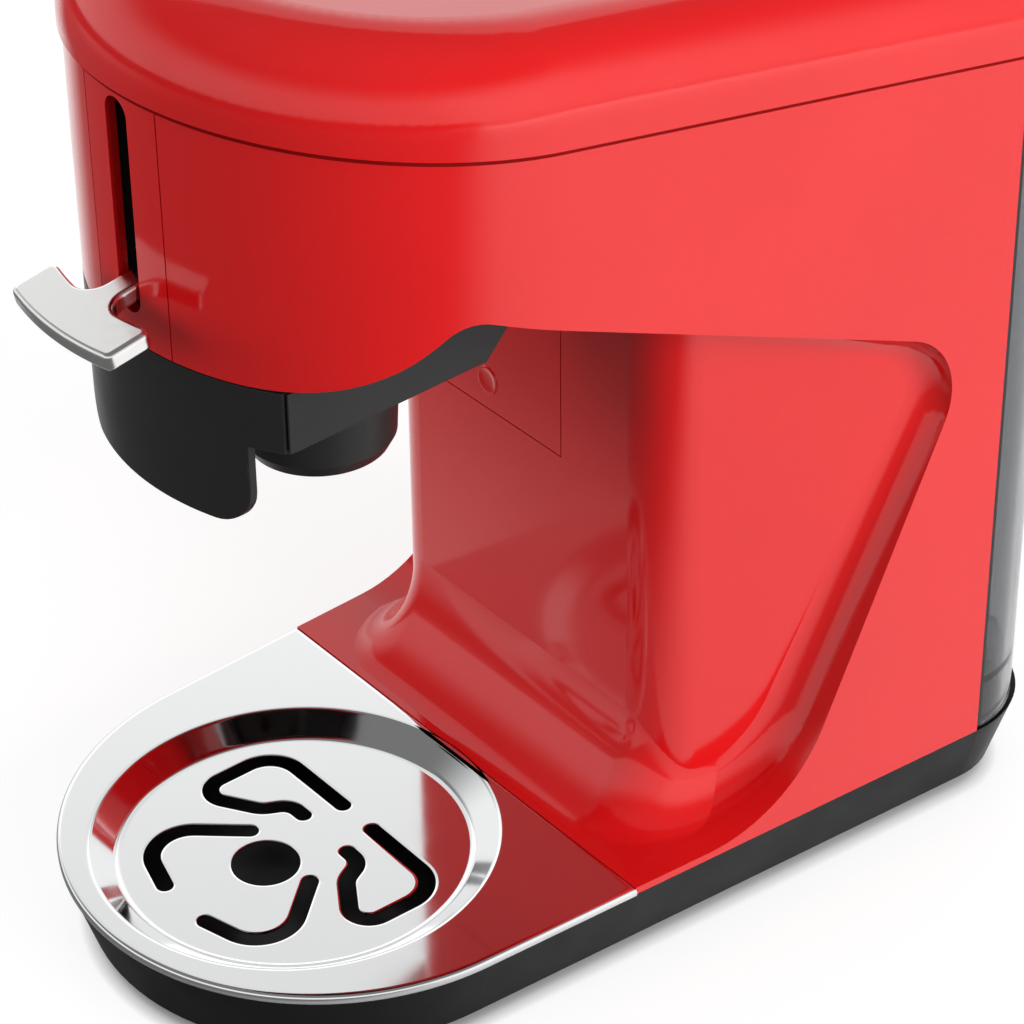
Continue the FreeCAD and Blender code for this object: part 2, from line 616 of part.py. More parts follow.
TONGUE_FRONT = f"({TRAY_BACK} + 1)"
TONGUE_REAR = f"({BODY_REAR} - 4)"
TONGUE_LOW = f"({BASE_TOP} - tongue_depth)"
tongue_inset = "(base_wall + slip + base_draft / 3)"
tongue_outer = trapezoid_body(TONGUE_FRONT, TONGUE_REAR, tongue_inset, TONGUE_LOW, BASE_TOP)
tongue_inner = trapezoid_body(
    f"{TONGUE_FRONT} + tongue_wall",
    f"{TONGUE_REAR} - tongue_wall",
    f"{tongue_inset} + tongue_wall",
    f"{TONGUE_LOW} - 1",
    f"{BASE_TOP} + 1",
)
posts = [cylinder("4.5", f"{BASE_TOP} - {PAN_FLOOR}", (x, y, PAN_FLOOR)) for x, y in SCREW_PLACES]
post_holes = [cylinder("1.5", "8", (x, y, PAN_FLOOR)) for x, y in SCREW_PLACES]
webs = []
for x, y in SCREW_PLACES:
    start = "-deck_width" if x < 0 else x
    webs.append(box((start, f"{y} - 1.5", f"{BASE_TOP} - 5"), (f"deck_width - {abs(x)}", "3", "5")))
tongue_trim = trapezoid_body(TONGUE_FRONT, TONGUE_REAR, tongue_inset, "0", BASE_TOP)
tongue = fuse(cut(tongue_outer, tongue_inner), common(fuse(*webs), tongue_trim), *posts)
red_shell = cut(red_block, cavity, group_gap, panel_way, hatch_pocket)
keep(cut(fuse(red_shell, tongue), *post_holes), "body_shell")

# Slotted front panel and the column's service panel
panel_block = plan_body(HEAD_SETBACK, REAR, "0", HEAD_LOW, CEILING)
panel_hollow = plan_body(HEAD_SETBACK, REAR, "shell_wall", f"{HEAD_LOW} - 1", f"{CEILING} + 1")
panel_window = middle_box("panel_half", f"{HEAD_FRONT} - 5", f"{HEAD_FRONT} + 12", HEAD_LOW, CEILING)
SLOT_Y = f"({HEAD_FRONT} - 5)"
SLOT_LOW = f"({HEAD_LOW} + slot_climb)"
SLOT_ENDS = (f"{SLOT_LOW} + slot_width / 2", f"{SLOT_LOW} + slot_length - slot_width / 2")
slot_cuts = [middle_box("slot_width / 2", SLOT_Y, f"{SLOT_Y} + 20", *SLOT_ENDS)]
slot_cuts += [cylinder("slot_width / 2", "20", ("0", SLOT_Y, end), "y") for end in SLOT_ENDS]
keep(cut(common(cut(panel_block, panel_hollow), panel_window), above_seam("0"), *slot_cuts), "slot_panel")

hatch_size = ("hatch_left + hatch_right", "hatch_depth", "hatch_height")
hatch_plate = box(("-hatch_left", COLUMN, HATCH_LOW), hatch_size)
keep(hatch_plate, "column_panel")

# Domed top: one form over body and tank, parted over the tank's front
COVER_REAR = f"({TANK_REAR})"


def dome(inset, height, rounding):
    block = plan_body(HEAD_SETBACK, COVER_REAR, inset, f"{SEAM_Z} - 60", CEILING)
    slab = cut(block, above_seam(height))
    tilt = math.tan(math.radians(number("seam_tilt")))
    centre = number(nose_centre(HEAD_SETBACK))
    level = number(SEAM_Z) + number(height)

    def on_top(edge):
        middle = edge.valueAt((edge.FirstParameter + edge.LastParameter) / 2)
        return abs(middle.z - level + tilt * (middle.y - centre)) < 0.05

    return rounded(slab, rounding, on_top)


def below_seam(lift):
    space = above_seam(lift)
    drop = space.Placement.Rotation.multVec(FreeCAD.Vector(0, 0, -200))
    space.Placement.Base = space.Placement.Base + drop
    return space


dome_outer = dome("-cover_overhang", "cover_height", "cover_round")
dome_inner = dome("shell_wall", "cover_height - shell_wall", "cover_round - shell_wall")
dome_shell = cut(dome_outer, below_seam("seam_gap"), dome_inner)
over_body = middle_box("deck_width", f"{FRONT} - 20", BODY_REAR, "0", f"{CEILING} + 20")
over_tank = middle_box("deck_width", f"{BODY_REAR} + panel_gap", f"{REAR} + 20", "0", f"{CEILING} + 20")
BUTTON_Y = f"({TRAY_BACK} + 62)"
BUTTON_PLACES = [("espresso_button", "-button_spread"), ("lungo_button", "button_spread")]
button_holes = [
    cylinder("button_radius + slip", "80", (x, BUTTON_Y, f"{SEAM_Z} - 20")) for name, x in BUTTON_PLACES
]
tilt_drop = f"tan(seam_tilt) * ({BUTTON_Y} - {nose_centre(HEAD_SETBACK)})"
COVER_TOP = f"({SEAM_Z} + cover_height - {tilt_drop})"
BOARD_TOP = f"({COVER_TOP} - 14.4)"
board_posts = []
for side in (-1, 1):
    for shift in (-9, 9):
        post_foot = (f"{side} * (button_spread + 11)", f"{BUTTON_Y} + {shift}", BOARD_TOP)
        board_posts.append(cylinder("2.5", f"{COVER_TOP} - 1.3 - {BOARD_TOP}", post_foot))
keep(cut(fuse(common(dome_shell, over_body), *board_posts), *button_holes), "top_cover")
lid_floor = common(cut(dome_outer, below_seam("seam_gap"), above_seam("seam_gap + 3")), over_tank)
keep(fuse(common(dome_shell, over_tank), lid_floor), "tank_lid")

# Brew buttons on a board below the cover
for name, x in BUTTON_PLACES:
    cap = cylinder("button_radius", "9", (x, BUTTON_Y, f"{COVER_TOP} - 7.5"))
    flange = cylinder("button_radius + 1.6", "1.4", (x, BUTTON_Y, f"{COVER_TOP} - 8.9"))
    keep(fuse(cap, flange), name)
board_plate = box(
    ("-button_spread - 14", f"{BUTTON_Y} - 13", f"{BOARD_TOP} - 1.6"), ("2 * button_spread + 28", "26", "1.6")
)
board_switches = [
    cylinder("3.2", "2.5", (x, BUTTON_Y, BOARD_TOP)) for name, x in BUTTON_PLACES
]
keep(fuse(board_plate, *board_switches), "button_board")

# Group housing: the plate that closes the core from below, with the two bars the drawer runs between
HOUSING_FRONT = f"({CORE_FRONT} + 1)"
HOUSING_REAR = f"({CORE_FRONT} + bar_length)"
CORE_SLOPE = f"((core_rear_half - core_front_half) / ({COLUMN} + 5 - {CORE_FRONT}))"
front_bar = f"(core_front_half + {CORE_SLOPE})"
rear_bar = f"(core_front_half + {CORE_SLOPE} * bar_length)"
bar_corners = [
    (f"-{front_bar}", HOUSING_FRONT),
    (front_bar, HOUSING_FRONT),
    (rear_bar, HOUSING_REAR),
    (f"-{rear_bar}", HOUSING_REAR),
]
housing_block = polygon_body("XY_Plane", bar_corners, BAR_LOW, f"{CORE_LOW} - {BAR_LOW}")
CHANNEL_SPAN = (f"{HOUSING_FRONT} - 1", f"{HOUSING_REAR} + 1")
CHANNEL_TOP = f"({CORE_LOW} - 5)"
channel = middle_box("bar_inner", *CHANNEL_SPAN, f"{BAR_LOW} + ledge_height", CHANNEL_TOP)
channel_mouth = middle_box("ledge_inner", *CHANNEL_SPAN, f"{BAR_LOW} - 1", CHANNEL_TOP)
pad_front = f"{TRAY_BACK} - group_ahead + slip"
housing_pad = middle_box("group_half - slip", pad_front, HOUSING_REAR, CORE_LOW, CORE_TOP)
piston_hole = cylinder("piston_radius + 1.5", "30", ("0", SPOUT_Y, f"{CORE_LOW} - 15"))
tail_corners = [
    (f"{HOUSING_REAR} - 8", f"{BAR_LOW} - 1"),
    (f"{HOUSING_REAR} + 1", f"{BAR_LOW} - 1"),
    (f"{HOUSING_REAR} + 1", f"{BAR_LOW} + 8"),
]
tail_cut = polygon_body("YZ_Plane", tail_corners, "-deck_width", "2 * deck_width")
DRAWER_HALF = "(core_front_half - drawer_seam)"
behind_drawer = plan_body(HEAD_SETBACK, REAR, "front_wall + slip", f"{BAR_LOW} - 2", f"{CORE_LOW} + 2")
drawer_span = (f"{FRONT} - 20", TRAY_BACK, f"{BAR_LOW} - 1", f"{CORE_LOW} + 1")
drawer_way = cut(middle_box(f"{DRAWER_HALF} + slip", *drawer_span), behind_drawer)
housing_trim = plan_body(HEAD_SETBACK, REAR, "0", BAR_LOW, CORE_LOW)
housing_block = cut(common(housing_block, housing_trim), drawer_way)
skirt_core = core_prism("skirt_wall", f"{CORE_LOW} - 1", f"{CEILING} + 1")
skirt_ring = cut(core_prism("0", CORE_LOW, CEILING), skirt_core)
skirt_span = middle_box("deck_width", f"{FRONT} - 20", HOUSING_REAR, CORE_LOW, CEILING)
skirt = common(common(skirt_ring, skirt_span), niche)
housing = fuse(housing_block, housing_pad, skirt)
keep(cut(housing, channel, channel_mouth, piston_hole, tail_cut), "group_housing")

# Capsule drawer: curved front with a grip lip, tray on the ledges, round spout
LIP_LOW = f"({HEAD_LOW} - lip_drop)"
front_ring = cut(
    plan_body(HEAD_SETBACK, REAR, "0", LIP_LOW, f"{HEAD_LOW} - slip"),
    plan_body(HEAD_SETBACK, REAR, "front_wall", f"{LIP_LOW} - 1", f"{HEAD_LOW} + 1"),
)
SHOULDER = f"({BAR_LOW})"
lip_corners = [
    ("-lip_half", LIP_LOW),
    ("lip_half", LIP_LOW),
    ("lip_half", SHOULDER),
    (DRAWER_HALF, SHOULDER),
    (DRAWER_HALF, HEAD_LOW),
    (f"-{DRAWER_HALF}", HEAD_LOW),
    (f"-{DRAWER_HALF}", SHOULDER),
    ("-lip_half", SHOULDER),
]
lip_window = polygon_body("XZ_Plane", lip_corners, f"-({HEAD_FRONT} + 30)", "60")
for x in ("lip_half", "-lip_half"):
    place_x = number(x)
    place_z = number(LIP_LOW)

    def lip_corner(edge, place_x=place_x, place_z=place_z):
        bounds = edge.BoundBox
        off = abs(bounds.XMin - place_x) + abs(bounds.XMax - place_x)
        return off + abs(bounds.ZMin - place_z) + abs(bounds.ZMax - place_z) < 0.05

    lip_window = rounded(lip_window, "lip_round", lip_corner)
keep(common(front_ring, lip_window), "drawer_front")

TRAY_LOW = f"({BAR_LOW} + ledge_height + 0.3)"
TRAY_TOP = f"({CORE_LOW} - 5 - 0.5)"
TRAY_SPAN = (f"{HOUSING_FRONT} - 0.5", f"{SPOUT_Y} + 24")
tray_flange = middle_box("bar_inner - slip", *TRAY_SPAN, TRAY_LOW, TRAY_TOP)
tray_keel = middle_box("ledge_inner - slip", *TRAY_SPAN, BAR_LOW, TRAY_TOP)
nose_trim = plan_body(HEAD_SETBACK, REAR, "front_wall", "0", CEILING)
capsule_seat = cylinder("capsule_radius", "40", ("0", SPOUT_Y, f"{BAR_LOW} - 1"))
nose_reach = middle_box("20", f"{HEAD_FRONT}", HOUSING_FRONT, BAR_LOW, TRAY_TOP)
keep(cut(fuse(tray_flange, tray_keel, common(nose_reach, nose_trim)), capsule_seat), "capsule_tray")

SPOUT_LOW = f"({HEAD_LOW} - spout_drop)"
spout_height = f"({BAR_LOW} - {SPOUT_LOW})"
spout_wall_up = f"({spout_height} - 3)"
spout_foot = ("0", SPOUT_Y, f"{SPOUT_LOW} + 3")
spout_body = cone("spout_radius", "spout_radius + spout_flare", spout_wall_up, spout_foot)
spout_rim = cone("spout_radius - 1.6", "spout_radius", "3", ("0", SPOUT_Y, SPOUT_LOW))
CUP_FLOOR = f"({SPOUT_LOW} + 9)"
cup_void = cone(
    "capsule_radius - 1.4", "capsule_radius", f"{BAR_LOW} - {CUP_FLOOR}", ("0", SPOUT_Y, CUP_FLOOR)
)
skirt_void = cylinder("spout_radius - 1.6 - spout_wall", "6", ("0", SPOUT_Y, SPOUT_LOW))
nozzle = cylinder("4.5", "4", ("0", SPOUT_Y, f"{SPOUT_LOW} + 2"))
nozzle_bore = cylinder("2.6", "12", ("0", SPOUT_Y, SPOUT_LOW))
keep(cut(fuse(cut(fuse(spout_body, spout_rim), cup_void, skirt_void), nozzle), nozzle_bore), "spout")

# Lever, drawn level about its pivot and then turned down to its rest
LEVER_REACH = f"({PIVOT_Y} - {HEAD_FRONT} + grip_ahead)"
GRIP_FRONT = f"(-{LEVER_REACH})"
GRIP_REAR = f"(-{LEVER_REACH} + grip_depth)"
grip_arc = f"({nose_radius(HEAD_SETBACK, '0')} + 17.8)"
grip_centre = f"({GRIP_FRONT} + {grip_arc})"


def lever_piece(piece, label):
    """Puts a piece drawn level about the pivot where the resting lever has it."""
    doc.recompute()
    moved = doc.addObject("Part::Feature", "lever")
    moved.Shape = piece.Shape
    turn = FreeCAD.Rotation(FreeCAD.Vector(1, 0, 0), number("lever_droop"))
    moved.Placement = FreeCAD.Placement(FreeCAD.Vector(0, number(PIVOT_Y), number(PIVOT_Z)), turn)
    return keep(moved, label)


grip_outer = cylinder(grip_arc, "grip_thick", ("0", grip_centre, "-grip_thick / 2"))
grip_inner = cylinder(f"{grip_arc} - grip_depth", "grip_thick + 2", ("0", grip_centre, "-grip_thick / 2 - 1"))
grip_window = middle_box("grip_half", f"{GRIP_FRONT} - 2", f"{GRIP_REAR} + 6", "-10", "10")
grip = common(cut(grip_outer, grip_inner), grip_window)
STEM_REAR = f"(-{LEVER_REACH} + 26)"
stem = middle_box("stem_width / 2", f"{GRIP_FRONT} + 6", STEM_REAR, "-grip_thick / 2", "grip_thick / 2")
doc.recompute()
t_form = fuse(grip, stem)
stem_x = number("stem_width / 2")
inner_y = number(GRIP_REAR)


def stem_corner(edge):
    """Picks the upright inner corners between grip and stem."""
    bounds = edge.BoundBox
    upright = bounds.ZMax - bounds.ZMin > 0.98 * edge.Length
    return upright and abs(abs(bounds.Center.x) - stem_x) < 0.05 and abs(bounds.Center.y - inner_y) < 1.5


def grip_end(edge):
    """Picks the upright corners at the grip's two ends."""
    bounds = edge.BoundBox
    upright = bounds.ZMax - bounds.ZMin > 0.98 * edge.Length
    return upright and abs(abs(bounds.Center.x) - number("grip_half")) < 0.05


def grip_front_edge(edge):
    """Picks the long front edges of the grip, above and below."""
    middle = edge.valueAt((edge.FirstParameter + edge.LastParameter) / 2)
    flat = edge.BoundBox.ZMax - edge.BoundBox.ZMin < 0.01
    return flat and middle.y < number(GRIP_FRONT) + 1.5 and edge.Length > 10


t_form = rounded(t_form, "5", stem_corner)
t_form = rounded(t_form, "2", grip_end)
t_form = rounded(t_form, "1.2", grip_front_edge)
lever_piece(t_form, "lever_handle")

ARM_FRONT = STEM_REAR
arm_bar = middle_box("arm_thick / 2", ARM_FRONT, "0", "-arm_height / 2", "arm_height / 2")
arm_boss = cylinder("9", "arm_thick", ("-arm_thick / 2", "0", "0"), "x")
bush_hole = cylinder("pivot_radius + 1.5", "arm_thick + 2", ("-arm_thick / 2 - 1", "0", "0"), "x")
pin_reach = f"(({PIVOT_Y} - {SPOUT_Y}) / cos(lever_droop))"
slot_half = "(cross_pin + 0.4)"
pin_slot = middle_box("arm_thick", f"-{pin_reach} - 1", f"-{pin_reach} + 2", f"-{slot_half}", slot_half)
pin_ends = [
    cylinder(slot_half, "2 * arm_thick", ("-arm_thick", y, "0"), "x")
    for y in (f"-{pin_reach} - 1", f"-{pin_reach} + 2")
]
lever_piece(cut(fuse(arm_bar, arm_boss), bush_hole, pin_slot, *pin_ends), "lever_arm")
bush = cylinder("pivot_radius + 1.5", "arm_thick", ("-arm_thick / 2", "0", "0"), "x")
bush_bore = cylinder("pivot_radius + pin_fit", "arm_thick + 2", ("-arm_thick / 2 - 1", "0", "0"), "x")
lever_piece(cut(bush, bush_bore), "lever_bush")

# Piston under the lever arm
PIN_Z = f"({PIVOT_Z} - ({PIVOT_Y} - {SPOUT_Y}) * tan(lever_droop))"
PISTON_LOW = f"({TRAY_TOP} + 1.2)"
PISTON_TOP = f"({PIN_Z} - arm_height / 2 - 5.5)"
piston_barrel = cylinder("piston_radius", f"{PISTON_TOP} - {PISTON_LOW}", ("0", SPOUT_Y, PISTON_LOW))
EAR_IN = "(arm_thick / 2 + 0.6)"
ears = []
for x in (EAR_IN, f"-{EAR_IN} - 4"):
    ear_size = ("4", "12", f"{PIN_Z} + 7 - {PISTON_TOP}")
    ears.append(box((x, f"{SPOUT_Y} - 6", f"{PISTON_TOP} - 1"), ear_size))
pin_way = cylinder("cross_pin", "40", ("-20", SPOUT_Y, PIN_Z), "x")
SEAL_Z = f"({PISTON_LOW} + 14)"
seal_groove = cut(
    cylinder("piston_radius + 2", "2.4", ("0", SPOUT_Y, SEAL_Z)),
    cylinder("piston_radius - 2", "2.4", ("0", SPOUT_Y, SEAL_Z)),
)
keep(cut(fuse(piston_barrel, *ears), pin_way, seal_groove), "piston")
seal_ring = cut(
    cylinder("piston_radius", "2.4", ("0", SPOUT_Y, SEAL_Z)),
    cylinder("piston_radius - 2", "2.4", ("0", SPOUT_Y, SEAL_Z)),
)
keep(seal_ring, "piston_seal")
keep(cylinder("cross_pin", f"2 * {EAR_IN} + 8", (f"-{EAR_IN} - 4", SPOUT_Y, PIN_Z), "x"), "cross_pin")
keep(cylinder("piston_radius - 2", "0.7", ("0", SPOUT_Y, f"{PISTON_LOW} - 0.7")), "pricking_plate")

# Brew frame: plate on the core's floor, piston guide and the lever's two pivot ears
FRAME_TOP = f"({CORE_TOP} + 3)"
frame_plate = middle_box("29", f"{TRAY_BACK} - 60", f"{TRAY_BACK} + 88", CORE_TOP, FRAME_TOP)
guide_outer = cylinder("piston_radius + 4.5", "8", ("0", SPOUT_Y, FRAME_TOP))
guide_bore = cylinder("piston_radius + guide_gap", "60", ("0", SPOUT_Y, f"{CORE_LOW} - 10"))
pivot_ears = []
for x in ("arm_thick / 2 + 1", "-arm_thick / 2 - 6"):
    pivot_ears.append(box((x, f"{PIVOT_Y} - 8", FRAME_TOP), ("5", "16", f"{PIVOT_Z} + 8 - {FRAME_TOP}")))
pivot_way = cylinder("pivot_radius", "60", ("-30", PIVOT_Y, PIVOT_Z), "x")
PUMP_Y = f"({BODY_REAR} - pump_ahead)"
tube_way = cylinder("5", "20", ("0", PUMP_Y, f"{CORE_LOW} - 5"))
keep(cut(fuse(frame_plate, guide_outer, *pivot_ears), guide_bore, pivot_way, tube_way), "brew_frame")
keep(cylinder("pivot_radius", "arm_thick + 16", ("-arm_thick / 2 - 8", PIVOT_Y, PIVOT_Z), "x"), "pivot_pin")

# Thermoblock on spacers behind the lever, with two thermostats
BLOCK_FRONT = f"({TRAY_BACK} + 34)"
BLOCK_REAR = f"({TRAY_BACK} + 86)"
SPACER_PLACES = [(side * 22, depth) for side in (-1, 1) for depth in (40, 80)]
spacers = [cylinder("4", "4", (x, f"{TRAY_BACK} + {depth}", FRAME_TOP)) for x, depth in SPACER_PLACES]
keep(fuse(*spacers), "block_spacers")
BLOCK_LOW = f"({FRAME_TOP} + 4)"
keep(middle_box("28", BLOCK_FRONT, BLOCK_REAR, BLOCK_LOW, f"{BLOCK_LOW} + 20"), "thermoblock")
stats = [cylinder("7", "5", (x, f"{TRAY_BACK} + 44", f"{BLOCK_LOW} + 20")) for x in ("-14", "14")]
keep(fuse(*stats), "thermostats")

# Pump in the column: bracket on the pan, rubber pads, coil, tube
BRACKET_Y = f"({BODY_REAR} - shell_wall - 3.5)"
feet = [box((x, f"{BRACKET_Y} - 22", PAN_FLOOR), ("16", "22", "3")) for x in ("10", "-26")]
bracket_back = middle_box("26", f"{BRACKET_Y} - 3", BRACKET_Y, f"{PAN_FLOOR} + 14", f"{PAN_FLOOR} + 105")
legs = [box((x, f"{BRACKET_Y} - 3", PAN_FLOOR), ("16", "3", "14")) for x in ("10", "-26")]
keep(fuse(bracket_back, *feet, *legs), "pump_bracket")
COIL_LOW = "(deck_height + 45)"
COIL_REAR = f"({BRACKET_Y} - 5)"
COIL_FRONT = f"(2 * {PUMP_Y} - {COIL_REAR})"
pads = [
    middle_box("12", COIL_REAR, f"{BRACKET_Y} - 3", f"{COIL_LOW} + {low}", f"{COIL_LOW} + {low} + 10")
    for low in (3, 33)
]
keep(fuse(*pads), "pump_pads")
coil = middle_box("20", COIL_FRONT, COIL_REAR, COIL_LOW, f"{COIL_LOW} + 46")
coil_way = cylinder("pump_radius", "80", ("0", PUMP_Y, f"{COIL_LOW} - 10"))
keep(cut(coil, coil_way), "pump_coil")
PUMP_LOW = f"({COIL_LOW} - 16)"
PUMP_TOP = f"({COIL_LOW} + 66)"
keep(cylinder("pump_radius", f"{PUMP_TOP} - {PUMP_LOW}", ("0", PUMP_Y, PUMP_LOW)), "pump_tube")
METER_LOW = f"({PUMP_LOW} - 10)"
keep(cylinder("pump_radius - 1", "10", ("0", PUMP_Y, METER_LOW)), "flow_meter")
keep(cylinder("3", f"{BLOCK_LOW} - {PUMP_TOP}", ("0", PUMP_Y, PUMP_TOP)), "pressure_tube")

# Tank deck, socket and suction hose
deck_plan = plan_body("0", REAR, "base_wall + slip + base_draft / 6", DECK_LOW, BASE_TOP)
before_tank = middle_box("deck_width", f"{FRONT} - 1", f"{BODY_REAR} + 0.4", "0", CEILING)
SOCKET_Y = f"(({TANK_FRONT} + {TANK_REAR}) / 2)"
deck_legs = [cylinder("4", f"{DECK_LOW} - {PAN_FLOOR}", (x, SOCKET_Y, PAN_FLOOR)) for x in ("-20", "20")]
nipple_way = cylinder("hose_radius", "20", ("0", SOCKET_Y, f"{DECK_LOW} - 8"))
keep(cut(fuse(cut(deck_plan, before_tank), *deck_legs), nipple_way), "tank_deck")
HOSE_Z = f"({PAN_FLOOR} + hose_radius + 1.2)"
socket_wall = cylinder("valve_radius + 4", "6", ("0", SOCKET_Y, BASE_TOP))
socket_void = cylinder("valve_radius + 2", "6", ("0", SOCKET_Y, f"{BASE_TOP} + 1.4"))
nipple = cylinder("hose_radius", f"{BASE_TOP} - {HOSE_Z}", ("0", SOCKET_Y, HOSE_Z))
elbow = cylinder("hose_radius", "12", ("0", f"{SOCKET_Y} - 12", HOSE_Z), "y")
keep(fuse(cut(socket_wall, socket_void), nipple, elbow), "tank_socket")
socket_seal = cut(
    cylinder("valve_radius + 2", "3", ("0", SOCKET_Y, f"{BASE_TOP} + 1.4")),
    cylinder("valve_radius + 0.4", "3", ("0", SOCKET_Y, f"{BASE_TOP} + 1.4")),
)
keep(socket_seal, "socket_seal")

hose_start = FreeCAD.Vector(0, number(f"{SOCKET_Y} - 12"), number(HOSE_Z))
hose_end = FreeCAD.Vector(0, number(PUMP_Y), number(METER_LOW))
bend = 12.0
turn_in = FreeCAD.Vector(0, hose_end.y + bend, hose_start.z)
turn_out = FreeCAD.Vector(0, hose_end.y, hose_start.z + bend)
drop = bend * (1 - math.sqrt(0.5))
turn_middle = FreeCAD.Vector(0, hose_end.y + drop, hose_start.z + drop)
hose_path = Part.Wire(
    [
        Part.makeLine(hose_start, turn_in),
        Part.Arc(turn_in, turn_middle, turn_out).toShape(),
        Part.makeLine(turn_out, hose_end),
    ]
)
hose_ring = Part.Wire([Part.makeCircle(number("hose_radius"), hose_start, FreeCAD.Vector(0, -1, 0))])
hose = doc.addObject("Part::Feature", "hose")
hose.Shape = hose_path.makePipeShell([hose_ring], True, False)
keep(hose, "suction_hose")

# Water tank with its valve
TANK_LOW = f"({BASE_TOP} + 0.3)"
tank_plan = plan_body("0", TANK_REAR, "0.6", TANK_LOW, CEILING)
before_tank_wall = middle_box("deck_width", f"{FRONT} - 1", TANK_FRONT, "0", f"{CEILING} + 1")
TANK_FLOOR = "(deck_height + tank_floor)"
inside_plan = plan_body("0", TANK_REAR, "0.6 + tank_wall", TANK_FLOOR, f"{CEILING} + 1")
skirt_plan = plan_body("0", TANK_REAR, "0.6 + tank_wall", f"{TANK_LOW} - 1", f"{TANK_FLOOR} - tank_wall")
before_inside = middle_box("deck_width", f"{FRONT} - 1", f"{TANK_FRONT} + tank_wall", "0", f"{CEILING} + 2")
tank_void = cut(fuse(inside_plan, skirt_plan), before_inside)
valve_way = cylinder("valve_radius - 2", "20", ("0", SOCKET_Y, f"{TANK_FLOOR} - 10"))
tank_wall = cut(cut(tank_plan, before_tank_wall), tank_void, valve_way, above_seam("0"))
keep(tank_wall, "water_tank")
VALVE_LOW = f"({BASE_TOP} + 1.8)"
valve_stem = cylinder("valve_radius", f"{TANK_FLOOR} - tank_wall - {VALVE_LOW}", ("0", SOCKET_Y, VALVE_LOW))
valve_neck = cylinder("valve_radius - 2", "tank_wall + 8", ("0", SOCKET_Y, f"{TANK_FLOOR} - tank_wall"))
keep(fuse(valve_stem, valve_neck), "tank_valve")

# Control board in the base, cord gland, power switch
BOARD_PLACES = [(x, y) for x in (-46, -16) for y in (4, 52)]
standoffs = [cylinder("2.5", "4", (x, y, PAN_FLOOR)) for x, y in BOARD_PLACES]
keep(fuse(*standoffs), "board_standoffs")
keep(box(("-50", "0", f"{PAN_FLOOR} + 4"), ("38", "56", "1.6")), "control_board")
gland_body = cylinder("gland_bore + 1.6", "base_wall + base_draft", (GLAND_X, GLAND_Y, GLAND_Z), "y")
gland_nut = cylinder("gland_bore + 1.8", "3", (GLAND_X, f"{GLAND_Y} - 3", GLAND_Z), "y")
gland_way = cylinder("gland_bore", "base_wall + base_draft + 6", (GLAND_X, f"{GLAND_Y} - 4", GLAND_Z), "y")
keep(cut(fuse(gland_body, gland_nut), gland_way), "cord_gland")
SWITCH_Y = f"({REAR} - base_wall - 6)"
switch_case = box((f"{SWITCH_X} - 10", SWITCH_Y, f"{GLAND_Z} - 5"), ("20", "base_wall + 6", "10"))
void_low = (f"{SWITCH_X} - 8.6", f"{SWITCH_Y} + 1", f"{GLAND_Z} - 3.6")
switch_void = box(void_low, ("17.2", "base_wall + 6", "7.2"))
switch_axle = cylinder("1", "9", (SWITCH_X, f"{REAR} - 5", f"{GLAND_Z} - 4.5"))
keep(fuse(cut(switch_case, switch_void), switch_axle), "switch_frame")
rocker_corners = [
    (f"{SWITCH_X} - 7.8", f"{REAR} - 3"),
    (f"{SWITCH_X} + 7.8", f"{REAR} - 2"),
    (f"{SWITCH_X} + 7.8", f"{REAR} - 0.4"),
    (SWITCH_X, f"{REAR} - 1.6"),
    (f"{SWITCH_X} - 7.8", f"{REAR} - 1.4"),
]
rocker_plate = polygon_body("XY_Plane", rocker_corners, f"{GLAND_Z} - 3.2", "6.4")
rocker_hub = cylinder("2.2", "6.4", (SWITCH_X, f"{REAR} - 5", f"{GLAND_Z} - 3.2"))
rocker_neck = box((f"{SWITCH_X} - 2", f"{REAR} - 5", f"{GLAND_Z} - 3.2"), ("4", "3", "6.4"))
rocker_bore = cylinder("1.05", "12", (SWITCH_X, f"{REAR} - 5", f"{GLAND_Z} - 6"))
keep(cut(fuse(rocker_plate, rocker_hub, rocker_neck), rocker_bore), "power_rocker")

# Check and write
doc.recompute()
faults = []
for label, piece in pieces.items():
    if {"Invalid", "Error"} & set(piece.State) or piece.Shape.isNull() or not piece.Shape.isValid():
        faults.append(label)
if faults:
    raise RuntimeError(f"bad pieces: {faults}")
os.makedirs("parts", exist_ok=True)
for label, piece in pieces.items():
    piece.Shape.exportStep(f"parts/{label}.step")
    bounds = piece.Shape.BoundBox
    print(label, len(piece.Shape.Solids), round(piece.Shape.Volume), bounds)
print(len(pieces), "pieces")
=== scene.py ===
# %% [markdown]
# # A compact capsule espresso machine
# The machine's solids come ready made from the frame: a red body with a hollow for the cup, a black
# base, a chrome drip plate, a lever in a slot and a smoky water tank. This lesson gives each of them
# its finish, adds the small forms that light catches, and sets up the studio. The scene is in metres,
# and the sizes of new pieces are given in millimetres.

# %% Load the frame
import json
import math

import bmesh
import bpy
from mathutils import Matrix, Vector


